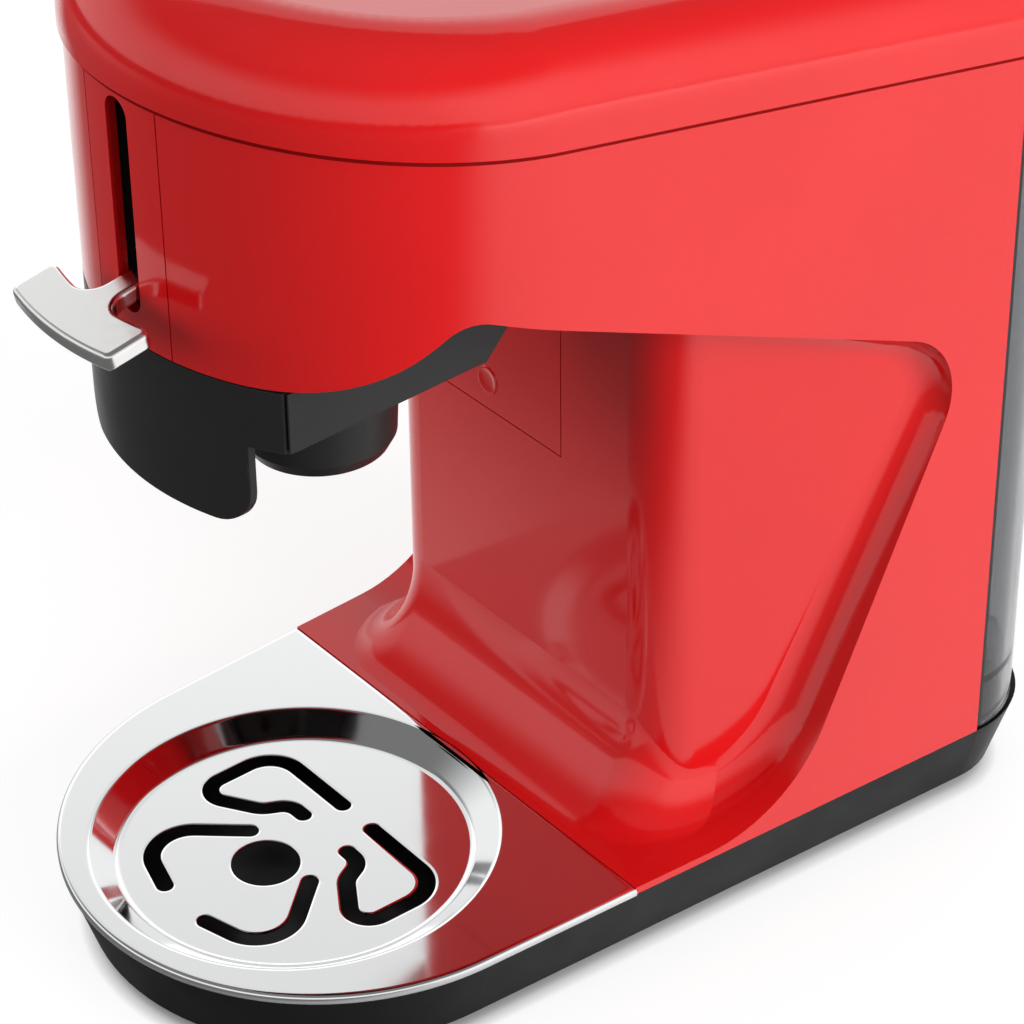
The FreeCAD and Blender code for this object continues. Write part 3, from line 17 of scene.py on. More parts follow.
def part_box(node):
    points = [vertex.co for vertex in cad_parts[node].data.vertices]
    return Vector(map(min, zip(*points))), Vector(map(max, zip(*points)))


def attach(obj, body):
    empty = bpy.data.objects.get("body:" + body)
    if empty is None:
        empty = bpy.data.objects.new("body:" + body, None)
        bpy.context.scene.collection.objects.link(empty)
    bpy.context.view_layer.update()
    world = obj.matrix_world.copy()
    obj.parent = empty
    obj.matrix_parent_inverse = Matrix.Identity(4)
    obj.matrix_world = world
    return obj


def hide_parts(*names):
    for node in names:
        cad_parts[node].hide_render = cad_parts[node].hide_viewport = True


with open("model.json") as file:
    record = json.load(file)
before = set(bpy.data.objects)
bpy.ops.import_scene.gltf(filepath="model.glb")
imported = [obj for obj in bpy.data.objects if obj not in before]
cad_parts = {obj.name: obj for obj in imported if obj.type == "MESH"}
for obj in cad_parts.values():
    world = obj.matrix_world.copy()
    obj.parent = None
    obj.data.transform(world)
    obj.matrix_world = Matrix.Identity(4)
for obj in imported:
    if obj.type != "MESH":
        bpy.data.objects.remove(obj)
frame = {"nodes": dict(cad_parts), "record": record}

scene = bpy.context.scene
nodes = frame["nodes"]
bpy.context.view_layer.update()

# %% [markdown]
# ## The camera
# The photograph looks down over the machine's right front corner with a long lens. A long lens keeps
# the upright edges almost parallel. The frame's middle isn't the lens's middle here, as the picture was
# cropped on one side, so the sensor is shifted a little instead of turning the camera.

# %% Camera
camera_data = bpy.data.cameras.new("studio_camera")
camera_data.sensor_width = 36.0
camera_data.lens = 126.3
camera_data.shift_x = -0.0656
camera_data.shift_y = 0.0009
camera_data.clip_end = 50.0
camera = bpy.data.objects.new("studio_camera", camera_data)
scene.collection.objects.link(camera)
azimuth = math.radians(50.49)
elevation = math.radians(34.06)
looking = Vector((
    -math.sin(azimuth) * math.cos(elevation),
    math.cos(azimuth) * math.cos(elevation),
    -math.sin(elevation),
))
camera.location = (0.5782, -0.4532, 0.5877)
camera.rotation_euler = looking.to_track_quat("-Z", "Y").to_euler()
scene.camera = camera
print("camera looks along", [round(part, 3) for part in looking])

# %% [markdown]
# ## Helpers for finishes
# Every finish starts from a Principled shader. One helper makes the material and hands back its nodes.
# The others add nodes that finishes share: noise that sticks to the piece, and a node that turns one
# span of values into another. Painting each piece by hand would also work, but noise on Object
# coordinates needs no unwrapping.

# %% Finish helpers
def new_finish(name, colour, roughness, metallic=0.0):
    """A material with a Principled shader, returned with its tree and shader."""
    material = bpy.data.materials.new(name)
    material.use_nodes = True
    tree = material.node_tree
    shader = tree.nodes["Principled BSDF"]
    shader.inputs["Base Color"].default_value = (*colour, 1.0)
    shader.inputs["Roughness"].default_value = roughness
    shader.inputs["Metallic"].default_value = metallic
    return material, tree, shader


def object_noise(tree, scale, detail=3.0):
    """Noise that sticks to the piece."""
    place = tree.nodes.new("ShaderNodeTexCoord")
    noise = tree.nodes.new("ShaderNodeTexNoise")
    noise.inputs["Scale"].default_value = scale
    noise.inputs["Detail"].default_value = detail
    tree.links.new(place.outputs["Object"], noise.inputs["Vector"])
    return noise.outputs["Fac"]


def map_range(tree, value, span, result, smooth=False):
    """Turns the values in one span into those of another."""
    node = tree.nodes.new("ShaderNodeMapRange")
    if smooth:
        node.interpolation_type = "SMOOTHSTEP"
    for name, number in zip(("From Min", "From Max", "To Min", "To Max"), (*span, *result)):
        node.inputs[name].default_value = number
    tree.links.new(value, node.inputs["Value"])
    return node.outputs["Result"]


print("finish helpers defined")

# %% [markdown]
# A moulded or cast surface is never quite even. Its polish, its shade and its level wander a little,
# and three helpers give a finish these traits. They are kept weak, as they should be felt rather than
# seen.

# %% Unevenness
POLISH_SPAN = (0.3, 0.7)
SHADE_SPAN = (0.35, 0.65)
SHADE_DETAIL = 4.0


def vary_roughness(tree, shader, scale, low, high):
    """Lets the polish change slightly from place to place."""
    polish = map_range(tree, object_noise(tree, scale), POLISH_SPAN, (low, high))
    tree.links.new(polish, shader.inputs["Roughness"])


def vary_colour(tree, shader, scale, first, second):
    """Two near shades that run into each other."""
    ramp = tree.nodes.new("ShaderNodeValToRGB")
    for stop, position, shade in zip(ramp.color_ramp.elements, SHADE_SPAN, (first, second)):
        stop.position = position
        stop.color = (*shade, 1.0)
    tree.links.new(object_noise(tree, scale, SHADE_DETAIL), ramp.inputs["Fac"])
    tree.links.new(ramp.outputs["Color"], shader.inputs["Base Color"])


def fine_bump(tree, shader, scale, strength, distance):
    """A grain or ripple in the surface."""
    bump = tree.nodes.new("ShaderNodeBump")
    bump.inputs["Strength"].default_value = strength
    bump.inputs["Distance"].default_value = distance
    tree.links.new(object_noise(tree, scale), bump.inputs["Height"])
    tree.links.new(bump.outputs["Normal"], shader.inputs["Normal"])


print("polish, shade and grain can vary")

# %% [markdown]
# ## Red gloss
# The body is moulded in a red plastic with a deep polish. Two near shades and a very shallow ripple
# keep the reflections from looking like glass, and a thin clear coat gives the crisp highlights on the
# edges.

# %% Red finish
red_gloss, tree, shader = new_finish("red_gloss", (0.62, 0.007, 0.008), 0.12)
vary_colour(tree, shader, 14.0, (0.605, 0.0065, 0.0075), (0.635, 0.0075, 0.0085))
vary_roughness(tree, shader, 40.0, 0.10, 0.15)
fine_bump(tree, shader, 60.0, 0.04, 0.0004)
shader.inputs["Coat Weight"].default_value = 0.15
shader.inputs["Coat Roughness"].default_value = 0.05
print("red:", red_gloss.name)

# %% [markdown]
# ## Black satin, chrome, polished metal, smoky clear plastic
# The drawer and bars are satin black with a spark-eroded grain, and the base is a duller black. The
# drip plate is bright chrome with a trace of unevenness from pressing. The lever is polished metal. The
# tank is clear plastic with smoke in it.

# %% Other outer finishes
black_satin, tree, shader = new_finish("black_satin", (0.020, 0.020, 0.020), 0.32)
vary_colour(tree, shader, 20.0, (0.019, 0.019, 0.019), (0.022, 0.022, 0.022))
vary_roughness(tree, shader, 60.0, 0.27, 0.37)
fine_bump(tree, shader, 1800.0, 0.12, 0.0002)
shader.inputs["Specular IOR Level"].default_value = 0.14

base_satin, tree, shader = new_finish("base_satin", (0.005, 0.005, 0.005), 0.38)
vary_colour(tree, shader, 20.0, (0.004, 0.004, 0.004), (0.006, 0.006, 0.006))
vary_roughness(tree, shader, 60.0, 0.33, 0.43)
fine_bump(tree, shader, 1800.0, 0.12, 0.0002)
shader.inputs["Specular IOR Level"].default_value = 0.07

chrome, tree, shader = new_finish("bright_chrome", (0.84, 0.845, 0.85), 0.07, 1.0)
vary_roughness(tree, shader, 50.0, 0.05, 0.10)
fine_bump(tree, shader, 35.0, 0.03, 0.0005)

lever_polish, tree, shader = new_finish("lever_polish", (0.80, 0.80, 0.79), 0.2, 1.0)
vary_roughness(tree, shader, 300.0, 0.16, 0.26)
fine_bump(tree, shader, 400.0, 0.04, 0.0002)

smoke, tree, shader = new_finish("smoky_clear", (0.34, 0.345, 0.36), 0.06)
shader.inputs["Transmission Weight"].default_value = 1.0
shader.inputs["IOR"].default_value = 1.45
vary_roughness(tree, shader, 25.0, 0.04, 0.09)
print("outer finishes made")

# %% [markdown]
# ## Inner finishes
# Behind the skin there are rubber seals, steel pins, a cast heater block, nylon blocks, green boards,
# hoses and bronze bushes. They show only when the drawer, the lid or the tank is out, so a plain finish
# with some variation in its polish is enough.

# %% Inner finishes
rubber, tree, shader = new_finish("rubber", (0.02, 0.02, 0.02), 0.75)
vary_roughness(tree, shader, 90.0, 0.65, 0.85)
fine_bump(tree, shader, 900.0, 0.2, 0.0003)

steel, tree, shader = new_finish("steel", (0.55, 0.55, 0.57), 0.35, 1.0)
vary_roughness(tree, shader, 250.0, 0.25, 0.45)

cast_metal, tree, shader = new_finish("cast_aluminium", (0.6, 0.6, 0.61), 0.5, 1.0)
vary_roughness(tree, shader, 120.0, 0.4, 0.6)
fine_bump(tree, shader, 700.0, 0.25, 0.0004)

grey_nylon, tree, shader = new_finish("grey_nylon", (0.2, 0.2, 0.21), 0.5)
vary_colour(tree, shader, 40.0, (0.18, 0.18, 0.19), (0.22, 0.22, 0.23))
vary_roughness(tree, shader, 100.0, 0.45, 0.6)

board_green, tree, shader = new_finish("board_green", (0.02, 0.12, 0.05), 0.4)
vary_colour(tree, shader, 120.0, (0.018, 0.10, 0.042), (0.026, 0.14, 0.06))

hose_clear, tree, shader = new_finish("hose_clear", (0.7, 0.69, 0.65), 0.4)
vary_roughness(tree, shader, 80.0, 0.3, 0.5)

bronze, tree, shader = new_finish("bronze", (0.5, 0.33, 0.15), 0.35, 1.0)
vary_roughness(tree, shader, 200.0, 0.28, 0.45)

print("inner finishes made")

# %% [markdown]
# Each solid names a material slot in its record. A table gives the finish for every slot, so that
# pieces of one material can't drift apart. Only the base takes its own duller black.

# %% Finishes on the solids
FINISH_OF_SLOT = {
    "red_shell": red_gloss,
    "black_plastic": black_satin,
    "chrome_plate": chrome,
    "lever_metal": lever_polish,
    "smoke_clear": smoke,
    "rubber": rubber,
    "steel": steel,
    "cast_aluminium": cast_metal,
    "grey_nylon": grey_nylon,
    "board": board_green,
    "clear_hose": hose_clear,
    "bronze": bronze,
}
for entry in frame["record"]["subparts"]:
    solid = nodes[entry["node"]]
    solid.data.materials.clear()
    solid.data.materials.append(FINISH_OF_SLOT[entry["material_slot"]])
nodes["base_pan"].data.materials[0] = base_satin
print("finished", len(nodes), "solids")

# %% [markdown]
# ## Helpers for new pieces
# A few forms are too fine for the solids, so they are drawn here with bmesh. Each one starts from a few
# runs of edges: closed rings, open chains or circles. Bridging one run to the next skins them into a
# surface. Curves with a bevel could do some of this, but bridged runs show exactly where each edge
# lies.

# %% Drawing helpers
MM = 0.001


def chain(bm, points, closed=False):
    """A run of edges through points given in millimetres, and back to the first if it is closed."""
    corners = [bm.verts.new(Vector(point) * MM) for point in points]
    following = corners[1:] + corners[:1] if closed else corners[1:]
    return [bm.edges.new(pair) for pair in zip(corners, following)]


def circle(bm, radius, centre, height, segments=160):
    """A closed ring of edges round an upright axis."""
    place = Matrix.Translation(Vector((*centre, height)) * MM)
    corners = bmesh.ops.create_circle(bm, segments=segments, radius=radius * MM, matrix=place)["verts"]
    edges = []
    for corner in corners:
        edges += [edge for edge in corner.link_edges if edge not in edges]
    return edges


def skin(bm, runs):
    """Bridges each run of edges to the next one."""
    for first, second in zip(runs, runs[1:]):
        bmesh.ops.bridge_loops(bm, edges=first + second)


def corners_of(parts):
    """The vertices among the parts that an operator hands back."""
    return [part for part in parts if isinstance(part, bmesh.types.BMVert)]


print("drawing helpers defined, one millimetre is", MM)

# %% [markdown]
# A drawn surface becomes a piece in the same few steps each time. It may get a wall and rounded edges
# from modifiers, which can still be changed later. It takes the material that it shares with the
# solids, and rides on one of the moving bodies.

# %% Finishing helpers
SMOOTH_BELOW = math.radians(40.0)
ROUND_ABOVE = math.radians(35.0)


def round_edges(piece, radius, steps=3):
    """Small roundings that catch the light on every sharp edge."""
    rounding = piece.modifiers.new("round_edges", "BEVEL")
    rounding.width = radius * MM
    rounding.segments = steps
    rounding.limit_method = "ANGLE"
    rounding.angle_limit = ROUND_ABOVE


def finish_piece(bm, name, material, body, thickness=0.0, bevel=0.0):
    """Turns the drawn surface into a smooth piece that rides on a body."""
    bmesh.ops.recalc_face_normals(bm, faces=bm.faces)
    mesh = bpy.data.meshes.new(name)
    bm.to_mesh(mesh)
    bm.free()
    mesh.materials.append(material)
    for face in mesh.polygons:
        face.use_smooth = True
    mesh.set_sharp_from_angle(angle=SMOOTH_BELOW)
    piece = bpy.data.objects.new(name, mesh)
    scene.collection.objects.link(piece)
    if thickness:
        wall = piece.modifiers.new("wall", "SOLIDIFY")
        wall.thickness = thickness * MM
        wall.offset = -1.0
    if bevel:
        round_edges(piece, bevel)
    steady = piece.modifiers.new("steady_normals", "WEIGHTED_NORMAL")
    steady.keep_sharp = True
    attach(piece, body)
    return piece


print("finishing helpers defined")

# %% [markdown]
# ## Drip plate
# The plate is pressed from chromed sheet: a flat flange with a folded edge, a round dish and a dish
# floor with drain slots and a finger hole. Pressing leaves soft roundings along every fold, and these
# give chrome its bright lines. The outline is one arc with two straight, slightly spread sides.

# %% Drip plate outline
plate_low, plate_high = [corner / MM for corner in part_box("drip_plate")]
PLATE_TOP = plate_high.z
PLATE_BACK = plate_high.y
SIDE_SPREAD = math.radians(3.22)
NOSE_STEPS = 120
DISH_RADIUS = 50.4
DISH_FLOOR_RADIUS = 44.2
DISH_DEPTH = 5.0
DISH_CENTRE = (0.0, PLATE_BACK - 51.0)
nose_radius = (plate_high.x - (PLATE_BACK - plate_low.y) * math.tan(SIDE_SPREAD)) / (
    1 / math.cos(SIDE_SPREAD) - math.tan(SIDE_SPREAD)
)
nose_y = plate_low.y + nose_radius


def nose_arc(radius, centre_y):
    """Points round a nose, from the right side's end to the left side's."""
    points = []
    for step in range(NOSE_STEPS + 1):
        turn = -SIDE_SPREAD - (math.pi - 2 * SIDE_SPREAD) * step / NOSE_STEPS
        points.append((radius * math.cos(turn), centre_y + radius * math.sin(turn)))
    return points


def plate_outline(inset, height):
    """The plate's edge moved in: back edge, side, round nose, side."""
    radius = nose_radius - inset
    back = PLATE_BACK - inset
    reach = (nose_radius + (PLATE_BACK - nose_y) * math.sin(SIDE_SPREAD)) / math.cos(SIDE_SPREAD)
    half = reach - inset * (1 / math.cos(SIDE_SPREAD) + math.tan(SIDE_SPREAD))
    arc = [(x, y, height) for x, y in nose_arc(radius, nose_y)]
    return [(half, back, height), *arc, (-half, back, height)]


print("plate nose radius", round(nose_radius, 2), "at", round(nose_y, 2))

# %% [markdown]
# The drain slots follow a path of straight runs with rounded turns. Each turn is given by its corner
# and its radius, as a draughtsperson would give it, and a radius of nothing marks an end.

# %% Drain slot paths
SLOT_WIDTH = 4.2
HOLE_RADIUS = 8.5
HOLE_CENTRE = (0.0, DISH_CENTRE[1] - 9.1)
REAR_HOOK = [
    ((6.3, 19.1), 0),
    ((34.8, 18.9), 9),
    ((34.4, -8.0), 5),
    ((17.9, 2.4), 7),
    ((14.6, 9.0), 5),
    ((9.4, 9.1), 0),
]
FRONT_BEND = [((12.7, -4.8), 0), ((31.7, -26.6), 9.7), ((8.7, -33.1), 0)]
FEWEST_STEPS = 4
DEGREES_A_STEP = 6


def rounded_path(corners):
    """Places and directions along straight runs whose corners are turned with a radius."""
    stations = []
    places = [Vector(place) for place, radius in corners]
    for index, (place, radius) in enumerate(corners):
        here = Vector(place)
        if not radius:
            neighbour = places[1] if index == 0 else places[-2]
            heading = (neighbour - here) if index == 0 else (here - neighbour)
            stations.append((here, heading.normalized()))
            continue
        arriving = (here - places[index - 1]).normalized()
        leaving = (places[index + 1] - here).normalized()
        bend = arriving.angle_signed(leaving)
        back_off = radius * math.tan(abs(bend) / 2)
        side = Vector((arriving.y, -arriving.x)) * (1 if bend > 0 else -1)
        centre = here - arriving * back_off + side * radius
        spoke = -side * radius
        steps = max(FEWEST_STEPS, int(abs(math.degrees(bend)) / DEGREES_A_STEP))
        for step in range(steps + 1):
            turn = Matrix.Rotation(-bend * step / steps, 2)
            stations.append((centre + turn @ spoke, turn @ arriving))
    return stations


print("stations along a slot:", len(rounded_path(REAR_HOOK)))

# %% [markdown]
# The edge of a slot lies half a slot width to both sides of its path and is closed by round ends. Slots
# on the plate's left are the mirror image of those on its right.

# %% Drain slot edges
CAP_STEPS = 12


def slot_outline(corners, mirror, grow, height):
    """The slot's edge, wider by a growth, as a closed run of points."""
    reach = SLOT_WIDTH / 2 + grow
    stations = rounded_path(corners)
    right = []
    left = []
    for place, heading in stations:
        across = Vector((heading.y, -heading.x)) * reach
        right.append(place + across)
        left.append(place - across)
    caps = []
    for place, heading in (stations[-1], (stations[0][0], -stations[0][1])):
        start = math.atan2(-heading.x, heading.y)
        turns = [start + math.pi * step / CAP_STEPS for step in range(1, CAP_STEPS)]
        caps.append([place + Vector((math.cos(turn), math.sin(turn))) * reach for turn in turns])
    points = right + caps[0] + left[::-1] + caps[1]
    return [(mirror * point.x, DISH_CENTRE[1] + point.y, height) for point in points]


print("points round a slot:", len(slot_outline(REAR_HOOK, 1, 0.0, 0.0)))

# %% [markdown]
# The plate is drawn as a skin. Rings along the folded edge, down the dish and into each slot are
# bridged, and the flat fields between them are filled. Solidify then gives the sheet its thickness.
# Cutting the slots with a Boolean would work too, but bridged rings keep the pressed roundings even.

# %% Drip plate skin
EDGE_PROFILE = [(-0.3, -2.2), (-0.35, -1.2), (-0.2, -0.5), (0.2, -0.12), (0.75, 0.0), (1.3, 0.0)]
DISH_PROFILE = [
    (DISH_RADIUS + 1.3, 0.0),
    (DISH_RADIUS + 0.9, 0.0),
    (DISH_RADIUS + 0.3, -0.12),
    (DISH_RADIUS - 0.2, -0.5),
    (DISH_FLOOR_RADIUS + 0.9, 0.75 - DISH_DEPTH),
    (DISH_FLOOR_RADIUS + 0.2, 0.25 - DISH_DEPTH),
    (DISH_FLOOR_RADIUS - 0.7, 0.0 - DISH_DEPTH),
    (DISH_FLOOR_RADIUS - 1.2, 0.0 - DISH_DEPTH),
]
HOLE_PROFILE = [(0.8, 0.0), (0.45, 0.0), (0.12, -0.12), (0.0, -0.45)]
HOLE_SEGMENTS = 64

bm = bmesh.new()
edge_rings = [chain(bm, plate_outline(inset, PLATE_TOP + drop), True) for inset, drop in EDGE_PROFILE]
dish_rings = [circle(bm, radius, DISH_CENTRE, PLATE_TOP + drop) for radius, drop in DISH_PROFILE]
# The flat pair of edge rings is bridged first, while no fold that could turn it over is joined to it.
skin(bm, edge_rings[::-1])
skin(bm, dish_rings)
floor_level = PLATE_TOP - DISH_DEPTH
floor_edges = list(dish_rings[-1])
for corners in (REAR_HOOK, FRONT_BEND):
    for mirror in (1, -1):
        rings = []
        for grow, drop in HOLE_PROFILE:
            rings.append(chain(bm, slot_outline(corners, mirror, grow, floor_level + drop), True))
        skin(bm, rings)
        floor_edges += rings[0]
rings = []
for grow, drop in HOLE_PROFILE:
    rings.append(circle(bm, HOLE_RADIUS + grow, HOLE_CENTRE, floor_level + drop, HOLE_SEGMENTS))
skin(bm, rings)
floor_edges += rings[0]
bmesh.ops.triangle_fill(bm, use_beauty=True, edges=edge_rings[-1] + dish_rings[0])
bmesh.ops.triangle_fill(bm, use_beauty=True, edges=floor_edges)
drip_plate = finish_piece(bm, "drip_plate_pressed", chrome, "drip_tray", thickness=0.9)
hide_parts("drip_plate")
print("drip plate faces", len(drip_plate.data.polygons))

# %% [markdown]
# ## Painted seam shadow
# A dark red band of painted shade lies in the joint under the top cover, standing in for the shadow in
# the seam. The joint tilts down to the back, so the band is the head's outline at four places of a small
# band, lifted along that tilt and bridged all round. A groove in the solids would look alike, but a piece
# of its own can have its own duller finish.

# %% Painted seam shadow
SEAM_HEIGHT = 232.8
SEAM_TILT = math.radians(7.4)
HEAD_NOSE = (-33.4, 68.9)
HEAD_REAR = 93.3
# The band of painted shade that stands in for the shadow in the cover's seam.
SEAM_SHADE_BAND = [(-0.08, -0.7), (-0.08, 0.4), (0.5, 0.4), (0.5, -0.7)]


def head_outline(inset, lift):
    """The head's edge just under the tilted seam: side, round nose, side."""
    nose_place, radius = HEAD_NOSE
    run = HEAD_REAR - nose_place
    half = (radius + run * math.sin(SIDE_SPREAD)) / math.cos(SIDE_SPREAD) - inset
    arc = nose_arc(radius - inset, nose_place)
    points = [(half, HEAD_REAR), *arc, (-half, HEAD_REAR)]
    return [(x, y, SEAM_HEIGHT + lift - math.tan(SEAM_TILT) * (y - nose_place)) for x, y in points]


bm = bmesh.new()
runs = [chain(bm, head_outline(inset, lift)) for inset, lift in SEAM_SHADE_BAND]
skin(bm, runs + runs[:1])
end_edges = [edge for edge in bm.edges if edge.is_boundary]
bmesh.ops.holes_fill(bm, edges=end_edges, sides=len(SEAM_SHADE_BAND))
# Painted shade: a dark red finish that stands in for the shadow in the seam under the top cover.
seam_shade_red, tree, shader = new_finish("seam_shade_red", (0.20, 0.003, 0.003), 0.6)
shader.inputs["Specular IOR Level"].default_value = 0.06
vary_roughness(tree, shader, 90.0, 0.5, 0.7)
fine_bump(tree, shader, 900.0, 0.1, 0.0002)
cover_seam_shade = finish_piece(bm, "cover_seam_shade", seam_shade_red, "machine")
print("seam shade faces", len(cover_seam_shade.data.polygons))

# %% [markdown]
# ## Slot liner
# Inside the lever slot a black wall on each side hides the works. Only the inner faces are seen, so two
# stretched cubes are enough.

# %% Slot liner
panel_low, panel_high = [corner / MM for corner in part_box("slot_panel")]
LINER_HALF = 5.2
LINER_WALL = 0.8
LINER_DEPTH = 22.0
LINER_START = panel_high.y - 1.15
LINER_SHORTER = 14.0
liner_height = panel_high.z - panel_low.z - LINER_SHORTER
liner_size = Matrix.Diagonal((LINER_WALL * MM, LINER_DEPTH * MM, liner_height * MM, 1))
bm = bmesh.new()
for side in (-1, 1):
    across = side * (LINER_HALF + LINER_WALL / 2)
    middle = Vector((across, LINER_START + LINER_DEPTH / 2, (panel_low.z + panel_high.z) / 2)) * MM
    bmesh.ops.create_cube(bm, size=1.0, matrix=Matrix.Translation(middle) @ liner_size)
slot_liner = finish_piece(bm, "slot_liner", black_satin, "machine", bevel=0.2)
print("liner", slot_liner.name)

# %% [markdown]
# ## Drawer front
# The black front of the capsule drawer is a bent plate. It continues the curve of the red nose, and its
# lip hangs down between two shoulders to be pulled with a finger. First come the curve that it follows,
# the lip's lower edge, and the places across where its columns of faces meet.

# %% Drawer front outline
drawer_low, drawer_high = [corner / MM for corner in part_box("drawer_front")]
housing_low, housing_high = [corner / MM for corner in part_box("group_housing")]
SHOULDER = housing_low.z
LIP_HALF = 31.2
LIP_ROUND = 9.0
LIP_FLAT = LIP_HALF - LIP_ROUND
DRAWER_HALF = drawer_high.x + 0.3
FLAT_STEPS = 12
ROUND_STEPS = 9
SHOULDER_STEPS = 4


def nose_place_beside(across, inset):
    """Where the head's round nose, or a wall inside it, lies to one side of the middle."""
    centre_y, radius = HEAD_NOSE
    return centre_y - math.sqrt((radius - inset) ** 2 - across ** 2)


def lip_edge(across):
    """The height of the lip's lower edge, which turns up at both ends."""
    into_round = min(LIP_ROUND, max(0.0, abs(across) - LIP_FLAT))
    return drawer_low.z + LIP_ROUND - math.sqrt(LIP_ROUND ** 2 - into_round ** 2)


half_run = [LIP_FLAT * step / FLAT_STEPS for step in range(FLAT_STEPS + 1)]
for step in range(1, ROUND_STEPS + 1):
    half_run.append(LIP_FLAT + LIP_ROUND * math.sin(math.pi / 2 * step / ROUND_STEPS))
for step in range(1, SHOULDER_STEPS + 1):
    half_run.append(LIP_HALF + (DRAWER_HALF - LIP_HALF) * step / SHOULDER_STEPS)
stations = [-across for across in half_run[:0:-1]] + half_run
print("columns of the drawer front:", len(stations) - 1)

# %% [markdown]
# A run of edges at shoulder height is extruded up into the band, and its middle part down into the lip.
# Then all faces are extruded to the inner wall. Every edge of the plate is rolled over, and an even
# grid like this one lets the Bevel modifier round them cleanly.

# %% Drawer front
DRAWER_WALL = 1.7
LIP_ROWS = 4
BAND_ROWS = 3
SLACK = 0.01


def extrude_rows(bm, edges, rows, rise):
    """Extrudes a run of edges row by row. The rise is each column's whole way, up or down."""
    for _ in range(rows):
        made = bmesh.ops.extrude_edge_only(bm, edges=edges)["geom"]
        corners = corners_of(made)
        for corner in corners:
            corner.co.z += rise(corner.co.x / MM) / rows * MM
        edges = [edge for edge in bm.edges if edge.verts[0] in corners and edge.verts[1] in corners]


bm = bmesh.new()
shoulder_edges = chain(bm, [(across, nose_place_beside(across, 0), SHOULDER) for across in stations])
lip_edges = []
for edge in shoulder_edges:
    reach = max(abs(corner.co.x) for corner in edge.verts) / MM
    if reach < LIP_HALF + SLACK:
        lip_edges.append(edge)
extrude_rows(bm, shoulder_edges, BAND_ROWS, lambda across: drawer_high.z - SHOULDER)
extrude_rows(bm, lip_edges, LIP_ROWS, lambda across: lip_edge(across) - SHOULDER)
inner_wall = bmesh.ops.extrude_face_region(bm, geom=bm.faces[:])["geom"]
for corner in corners_of(inner_wall):
    corner.co.y = nose_place_beside(corner.co.x / MM, DRAWER_WALL) * MM
bent_front = finish_piece(bm, "drawer_front_bent", black_satin, "capsule_drawer", bevel=0.55)
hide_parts("drawer_front")
print("drawer front faces", len(bent_front.data.polygons))

# %% [markdown]
# ## Bar cheeks
# A thin cheek closes each group bar flush with the drawer. Its five-sided outline follows the bar's
# slope, is filled with one face and extruded sideways, and its rear lower corner is cut off like the
# bar's.

# %% Bar cheeks
BAR_SLOPE = -0.0576
CHEEK_FRONT = housing_low.y - 0.4
CHEEK_REAR = housing_high.y - 0.2
CHEEK_LOW = housing_low.z + 0.15
CHEEK_TOP = drawer_high.z + 0.1
CHEEK_CORNER = 7.0
CHEEK_SINK = 0.4
CHEEK_WALL = 0.6
CHEEK_SIDES = [
    (CHEEK_FRONT, CHEEK_LOW),
    (CHEEK_REAR - CHEEK_CORNER, CHEEK_LOW),
    (CHEEK_REAR, CHEEK_LOW + CHEEK_CORNER),
    (CHEEK_REAR, CHEEK_TOP),
    (CHEEK_FRONT, CHEEK_TOP),
]
bm = bmesh.new()
for side in (-1, 1):
    points = []
    for along, height in CHEEK_SIDES:
        half = housing_high.x - CHEEK_SINK + BAR_SLOPE * (along - housing_low.y)
        points.append((side * half, along, height))
    flat = bmesh.ops.edgeloop_fill(bm, edges=chain(bm, points, True))["faces"]
    made = bmesh.ops.extrude_face_region(bm, geom=flat)["geom"]
    bmesh.ops.translate(bm, vec=(side * CHEEK_WALL * MM, 0, 0), verts=corners_of(made))
bar_cheeks = finish_piece(bm, "bar_cheeks", black_satin, "machine", bevel=0.25)
print(bar_cheeks.name, "reach forward to", round(CHEEK_FRONT, 2))

# %% [markdown]
# ## Dimple and button caps
# The column's panel has a small finger dimple. Each brew button has a dished cap with a raised ring,
# small for a short cup and wide for a long one. All three are round, so half a profile is spun about an
# axis and then set in place, as on a lathe.

# %% Turned details
TURN_STEPS = 64
MERGE_WITHIN = 1e-6


def turned(name, profile, centre, axis, material, body):
    """A shape turned round an axis: profile gives radius and height above the centre, in millimetres."""
    bm = bmesh.new()
    run = chain(bm, [(radius, 0, height) for radius, height in profile])
    bmesh.ops.spin(
        bm, geom=bm.verts[:] + run, cent=(0, 0, 0), axis=(0, 0, 1), angle=2 * math.pi,
        steps=TURN_STEPS, use_merge=True,
    )
    bmesh.ops.remove_doubles(bm, verts=bm.verts, dist=MERGE_WITHIN)
    upright = Vector(axis).to_track_quat("Z", "Y").to_matrix().to_4x4()
    place = Matrix.Translation(Vector(centre) * MM) @ upright
    bmesh.ops.transform(bm, matrix=place, verts=bm.verts)
    finish_piece(bm, name, material, body)


hatch_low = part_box("column_panel")[0] / MM
DIMPLE = (-12.2, hatch_low.y, 122.2)
DIMPLE_PROFILE = [(0.0, 0.05), (1.6, 0.06), (2.5, 0.12), (3.0, 0.3), (3.3, 0.36), (3.6, 0.3), (3.9, -0.1)]
CAP_RINGS = {"espresso_button": 2.2, "lungo_button": 4.0}
CAP_RIM = [(6.2, 0.45), (7.0, 0.65), (7.5, 0.5), (7.8, 0.0)]
RING_HALF = 0.5
turned("panel_dimple", DIMPLE_PROFILE, DIMPLE, (0, -1, 0), red_gloss, "machine")
for button, ring_radius in CAP_RINGS.items():
    low, high = [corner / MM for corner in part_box(button)]
    cap_centre = ((low.x + high.x) / 2, (low.y + high.y) / 2, high.z)
    dished = [(0.0, 0.15), (ring_radius - RING_HALF, 0.2), (ring_radius, 0.5), (ring_radius + RING_HALF, 0.2)]
    cap = dished + CAP_RIM
    turned(f"{button}_cap", cap, cap_centre, (0, 0, 1), black_satin, button)
print("dimple and two button caps")

